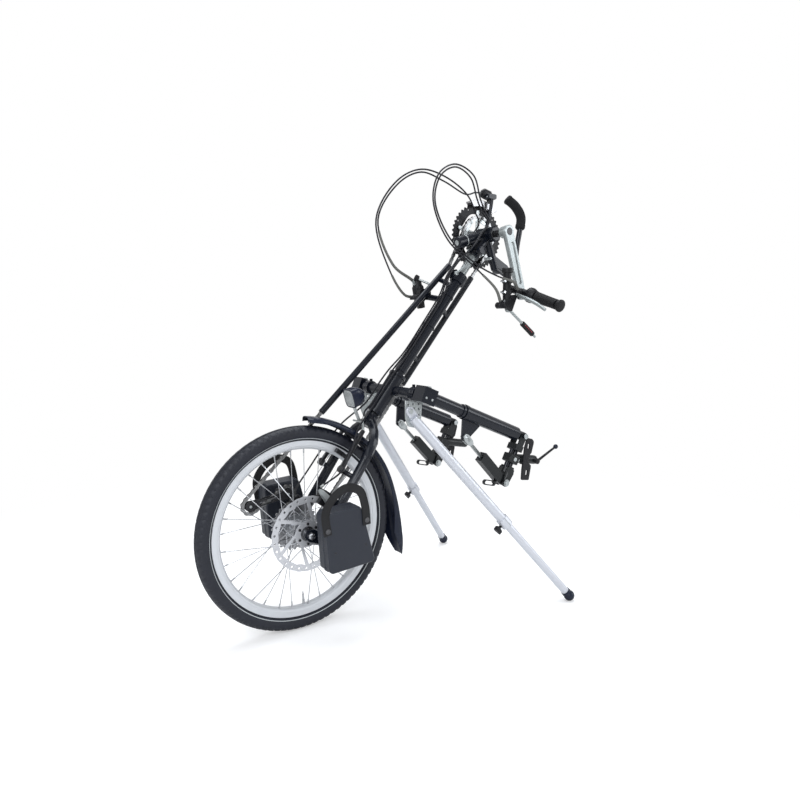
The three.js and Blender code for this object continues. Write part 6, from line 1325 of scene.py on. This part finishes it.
stamped(link, box_line(0.006, 0.0105, (0, -0.0075)), [], 0.004, upright(link_place), 0.0006)
lofted(link, [(MECH + Vector((0, y, -0.002)), 0.006, 0.004) for y in (0.003, 0.0075)], BACK, UP, 5, 20)
cover_sizes = (
    (-0.0075, 0.0130, 0.0082), (-0.0060, 0.0170, 0.0112), (0.0055, 0.0180, 0.0120), (0.0080, 0.0160, 0.0100),
    (0.0090, 0.011, 0.006),
)
lofted(link, [(COVER + ACROSS * y, w, h) for y, w, h in cover_sizes], COVER_U, COVER_V, 3.2)
for k in range(-3, 4):
    rib = COVER + COVER_V * 0.0118 + COVER_U * k * 0.0040
    hose(link, [rib - ACROSS * 0.0058, rib + ACROSS * 0.0045], 0.0009, 8)
piece("front_derailleur_link", link, plastic, mech_body, smooth=40)
clamp_screw = bmesh.new()
cross_bar(clamp_screw, COVER + Vector((0.002, 0, -0.001)), 0.0086, 0.0118, 0.0034, 6)
round_bar(clamp_screw, MECH - BACK * 0.0112, MECH - BACK * 0.0096, 0.0042, 6, 0.0003)
piece("front_derailleur_screws", clamp_screw, zinc, mech_body)

# Rear derailleur: a moulded black knuckle on the fork's hanger, two parallel links, and a
# sprung cage of two cut-out steel plates with toothed plastic jockey wheels.
HANGER = (18, 300)
LINK_REACH, LINK_LENGTH = 0.015, 0.046
GUIDE_AT, TENSION_AT, HANGER_AT = [at(x, 0, z) for x, z in (GUIDE, TENSION, HANGER)]
CAGE_LONG = math.hypot(TENSION[0] - GUIDE[0], TENSION[1] - GUIDE[1]) / 1000
cage_turn = math.atan2(TENSION[1] - GUIDE[1], TENSION[0] - GUIDE[0])
link_turn = math.atan2(GUIDE[1] - HANGER[1], GUIDE[0] - HANGER[0])
knuckle = bmesh.new()
lathed(knuckle, HANGER_AT, ACROSS, ((44.2, 8.4), (45, 9.2), (67, 9.2), (68, 8.2)), 32)
lathed(knuckle, GUIDE_AT, ACROSS, ((39.7, 9.6), (40.5, 10.6), (55, 10.6), (55.8, 9.2)), 32)
for y, wide in ((46.5, 0.0072), (53.5, 0.0058)):
    side_link = link_outline(LINK_LENGTH, wide, wide * 0.86)
    stamped(knuckle, side_link, [], 0.0036, upright(at(3, y, 310), link_turn), 0.0008)
barrel_steps = ((0, 3), (4, 3), (4.5, 4.2), (13, 4.2), (13.5, 3.4))
lathed(knuckle, GUIDE_AT + Vector((-0.006, 0.053, 0.007)), -BACK, barrel_steps, 16)
piece("derailleur_knuckle", knuckle, plastic, "steering", ["rear_derailleur"], 38)
pins = bmesh.new()
cross_bar(pins, HANGER_AT, 0.0675, 0.070, 0.0055, 6)
for reach in (-LINK_REACH, LINK_REACH):
    cross_bar(pins, around(at(3, 0, 310), reach, link_turn), 0.055, 0.0564, 0.0024, 12)
piece("derailleur_pins", pins, zinc, "steering")
side_line = arc(0.0126, 75, 286, 15) + [(0.030, -0.0085), (CAGE_LONG - 0.026, -0.0080)]
side_line += arc(0.0122, -80, 81, 16, CAGE_LONG) + [(CAGE_LONG - 0.026, 0.0068), (0.030, 0.0072)]
window = [
    (0.024, -0.0045), (CAGE_LONG - 0.024, -0.0042), (CAGE_LONG - 0.021, 0), (CAGE_LONG - 0.024, 0.0034),
    (0.024, 0.0036), (0.020, 0),
]
cage_plates = bmesh.new()
for y in (CHAIN_Y - 0.0052, CHAIN_Y + 0.0052):
    stamped(cage_plates, side_line, [window], 0.0014, upright(GUIDE_AT + ACROSS * y, cage_turn), 0.0003)
cross_bar(cage_plates, GUIDE_AT, 0.0366, 0.051, 0.0038, 18)
piece("cage_plates", cage_plates, black_steel, "derailleur_cage", ["derailleur_cage"], 35)
jockey, bolts = bmesh.new(), bmesh.new()
jockey_line = []
for k, radius in enumerate((0.0106, 0.0118, 0.0106, 0.0094) * JOCKEY_TEETH):
    a = 2 * pi * k / (4 * JOCKEY_TEETH)
    jockey_line.append((radius * cos(a), radius * sin(a)))
for centre in (GUIDE_AT, TENSION_AT):
    place = upright(centre + ACROSS * CHAIN_Y)
    stamped(jockey, jockey_line, hole_ring(5, 0.0066, 0.0017, 10), 0.0026, place, 0.0003)
    cross_bar(jockey, centre, 0.0274, 0.0360, 0.0042, 20)
    cross_bar(bolts, centre, 0.0250, 0.0264, 0.0036, 6, 0.0003)
piece("jockey_wheels", jockey, plastic, "derailleur_cage", smooth=38)
piece("cage_bolts", bolts, zinc, "derailleur_cage")

# Beam block bolts: a zinc-plated hexagon screw on top of each block where a beam meets the
# cross tube, and two set screws on its face.
BEAM_UP = Vector((-BEAM_WAY.z, 0, BEAM_WAY.x))
BLOCK_FACE = 0.0188
for side, sign in (("left", -1), ("right", 1)):
    screws = bmesh.new()
    block_middle = at(CROSS_TUBE_X, sign * BEAM_Y, CROSS_TUBE_Z)
    seat = block_middle + BEAM_UP * BLOCK_FACE + BEAM_WAY * 0.004
    hose(screws, [seat, seat + BEAM_UP * 0.0009], 0.0085, 24)
    round_bar(screws, seat + BEAM_UP * 0.0006, seat + BEAM_UP * 0.0052, 0.0064, 6)
    for along in (-0.009, 0.009):
        seat = block_middle + BEAM_WAY * along + ACROSS * sign * BLOCK_FACE - BEAM_UP * 0.006
        cross_bar(screws, seat, 0, sign * 0.0014, 0.0032, 6, 0.0003)
    piece("beam_block_screws_" + side, screws, zinc, "frame")

# Control cables: black plastic housings about 4 mm thick, in two pairs that loop
# up before the cranks, pass the crank shell and run down the column in its clips.
CABLE_RADIUS = 0.0021
BOOT_STEPS = 15
cable_black = finish_of(
    "cable_housing", (0.010, 0.010, 0.014), 0.32, coat=0.08, grain=2200, depth=0.05, specular=0.35
)
ferrule_steel = finish_of("cable_ferrule", (0.42, 0.43, 0.42), 0.35, metal=0.9, grain=1800)
boot_grey = finish_of("cable_boot", (0.13, 0.13, 0.12), 0.6, grain=1500, depth=0.15)
brake_line = [
    (0.2743, -0.1275, 0.8075), (0.2513, -0.137, 0.824), (0.2133, -0.12, 0.838), (0.1703, -0.09, 0.866),
    (0.1033, -0.06, 0.931), (0.0683, -0.044, 1.02), (0.0903, -0.038, 1.085), (0.1403, -0.036, 1.112),
    (0.1913, -0.034, 1.092), (0.2173, -0.03, 1.042), (0.2453, -0.022, 1.01), (0.2667, -0.019, 0.991),
    (0.2428, -0.019, 0.959), (0.215, -0.019, 0.9236), (0.1755, -0.0056, 0.8808), (0.1465, -0.0056, 0.8439),
    (0.122, -0.0141, 0.7932), (0.0689, -0.0135, 0.7204), (0.0065, -0.0141, 0.6423),
    (-0.0366, -0.0191, 0.5998), (-0.0984, -0.0191, 0.5212), (-0.1536, -0.042, 0.473),
    (-0.1879, -0.064, 0.4262), (-0.2157, -0.072, 0.3844), (-0.2692, -0.0663, 0.3517),
]
parking_line = [
    (0.2293, -0.112, 0.776), (0.2173, -0.108, 0.806), (0.1673, -0.092, 0.855), (0.0973, -0.058, 0.928),
    (0.0623, -0.044, 1.021), (0.0853, -0.038, 1.09), (0.1403, -0.036, 1.119), (0.1963, -0.04, 1.097),
    (0.2233, -0.036, 1.042), (0.2503, -0.028, 1.01), (0.266, -0.025, 0.9916), (0.242, -0.025, 0.9596),
    (0.2142, -0.025, 0.9242), (0.1752, 0.0006, 0.8811), (0.1461, 0.0006, 0.8442), (0.1195, -0.0082, 0.7951),
    (0.0663, -0.0079, 0.7225), (0.0037, -0.0082, 0.6445), (-0.0396, -0.0126, 0.6022),
    (-0.1015, -0.0126, 0.5236), (-0.1198, -0.013, 0.5063), (-0.1251, -0.0168, 0.4863),
]
selector_line = [
    (0.0843, 0.075, 0.835), (0.0053, 0.052, 0.872), (-0.0427, 0.044, 0.977), (0.0063, 0.028, 1.066),
    (0.0713, 0.018, 1.101), (0.1393, 0.012, 1.086), (0.2153, 0.014, 1.062), (0.2573, 0.024, 1.073),
    (0.2863, 0.033, 1.076),
]
gear_line = [
    (0.0933, 0.079, 0.79), (0.0553, 0.07, 0.796), (-0.0067, 0.052, 0.862), (-0.0497, 0.042, 0.977),
    (0.0023, 0.028, 1.072), (0.0713, 0.018, 1.108), (0.1393, 0.004, 1.095), (0.2013, -0.008, 1.056),
    (0.2433, 0.006, 1.016), (0.2667, 0.018, 0.991), (0.2428, 0.018, 0.959), (0.215, 0.018, 0.9236),
    (0.1809, 0.0077, 0.8868), (0.1466, 0.0067, 0.8437), (0.1184, -0.0017, 0.796), (0.0651, -0.0015, 0.7234),
    (0.0025, -0.0015, 0.6454), (-0.0417, 0, 0.6039), (-0.0719, 0.0075, 0.564), (-0.0953, 0.0191, 0.5251),
    (-0.1536, 0.042, 0.473), (-0.1941, 0.06, 0.4184), (-0.2374, 0.062, 0.3633), (-0.2807, 0.06, 0.312),
]
cable_parts = (
    ("_housing", cable_black, "cable"), ("_boots", boot_grey, "cable"), ("_ferrules", ferrule_steel, "steel"),
)
boot_radii = [0.0042 - 0.00009 * k for k in range(BOOT_STEPS)]
turning = ("crank_unit", "crank", (0, 0, 1.060), (0, 0, 0.835))
for pair, lines, cuts, start, end in (
    ("brake_cables", (brake_line, parking_line), (56, 48), (0.081, 0, 0.749), (0.149, 0, 0.835)),
    ("shifter_cables", (selector_line, gear_line), (0, 0), (0.1184, 0, 0.7960), (0.2150, 0, 0.9236)),
):
    held = [bmesh.new() for _ in range(3)]
    loose = [bmesh.new() for _ in range(3)]
    # Up to its cut, a brake cable's loop is a piece of its own; the column's clips hold the rest.
    for line, cut in zip(lines, cuts):
        run = flow(line, 8)
        near = loose if cut else held
        if cut:
            hose(loose[0], run[:cut + 1], CABLE_RADIUS)
        hose(held[0], run[cut:], CABLE_RADIUS)
        hose(near[1], run[:BOOT_STEPS], boot_radii)
        hose(near[2], [run[0], run[0] + (run[1] - run[0]).normalized() * 0.009], 0.0033)
        hose(held[2], [run[-1], run[-1] + (run[-2] - run[-1]).normalized() * 0.009], 0.0033)
    for group, parts, span in (("", held, ("steering", "crank_unit", start, end)), ("_loop", loose, turning)):
        for mesh, (ending, paint, slot) in zip(parts, cable_parts):
            if mesh.verts:
                stands_for = [pair] if group + ending == "_housing" else []
                piece(pair + group + ending, mesh, paint, span, stands_for)
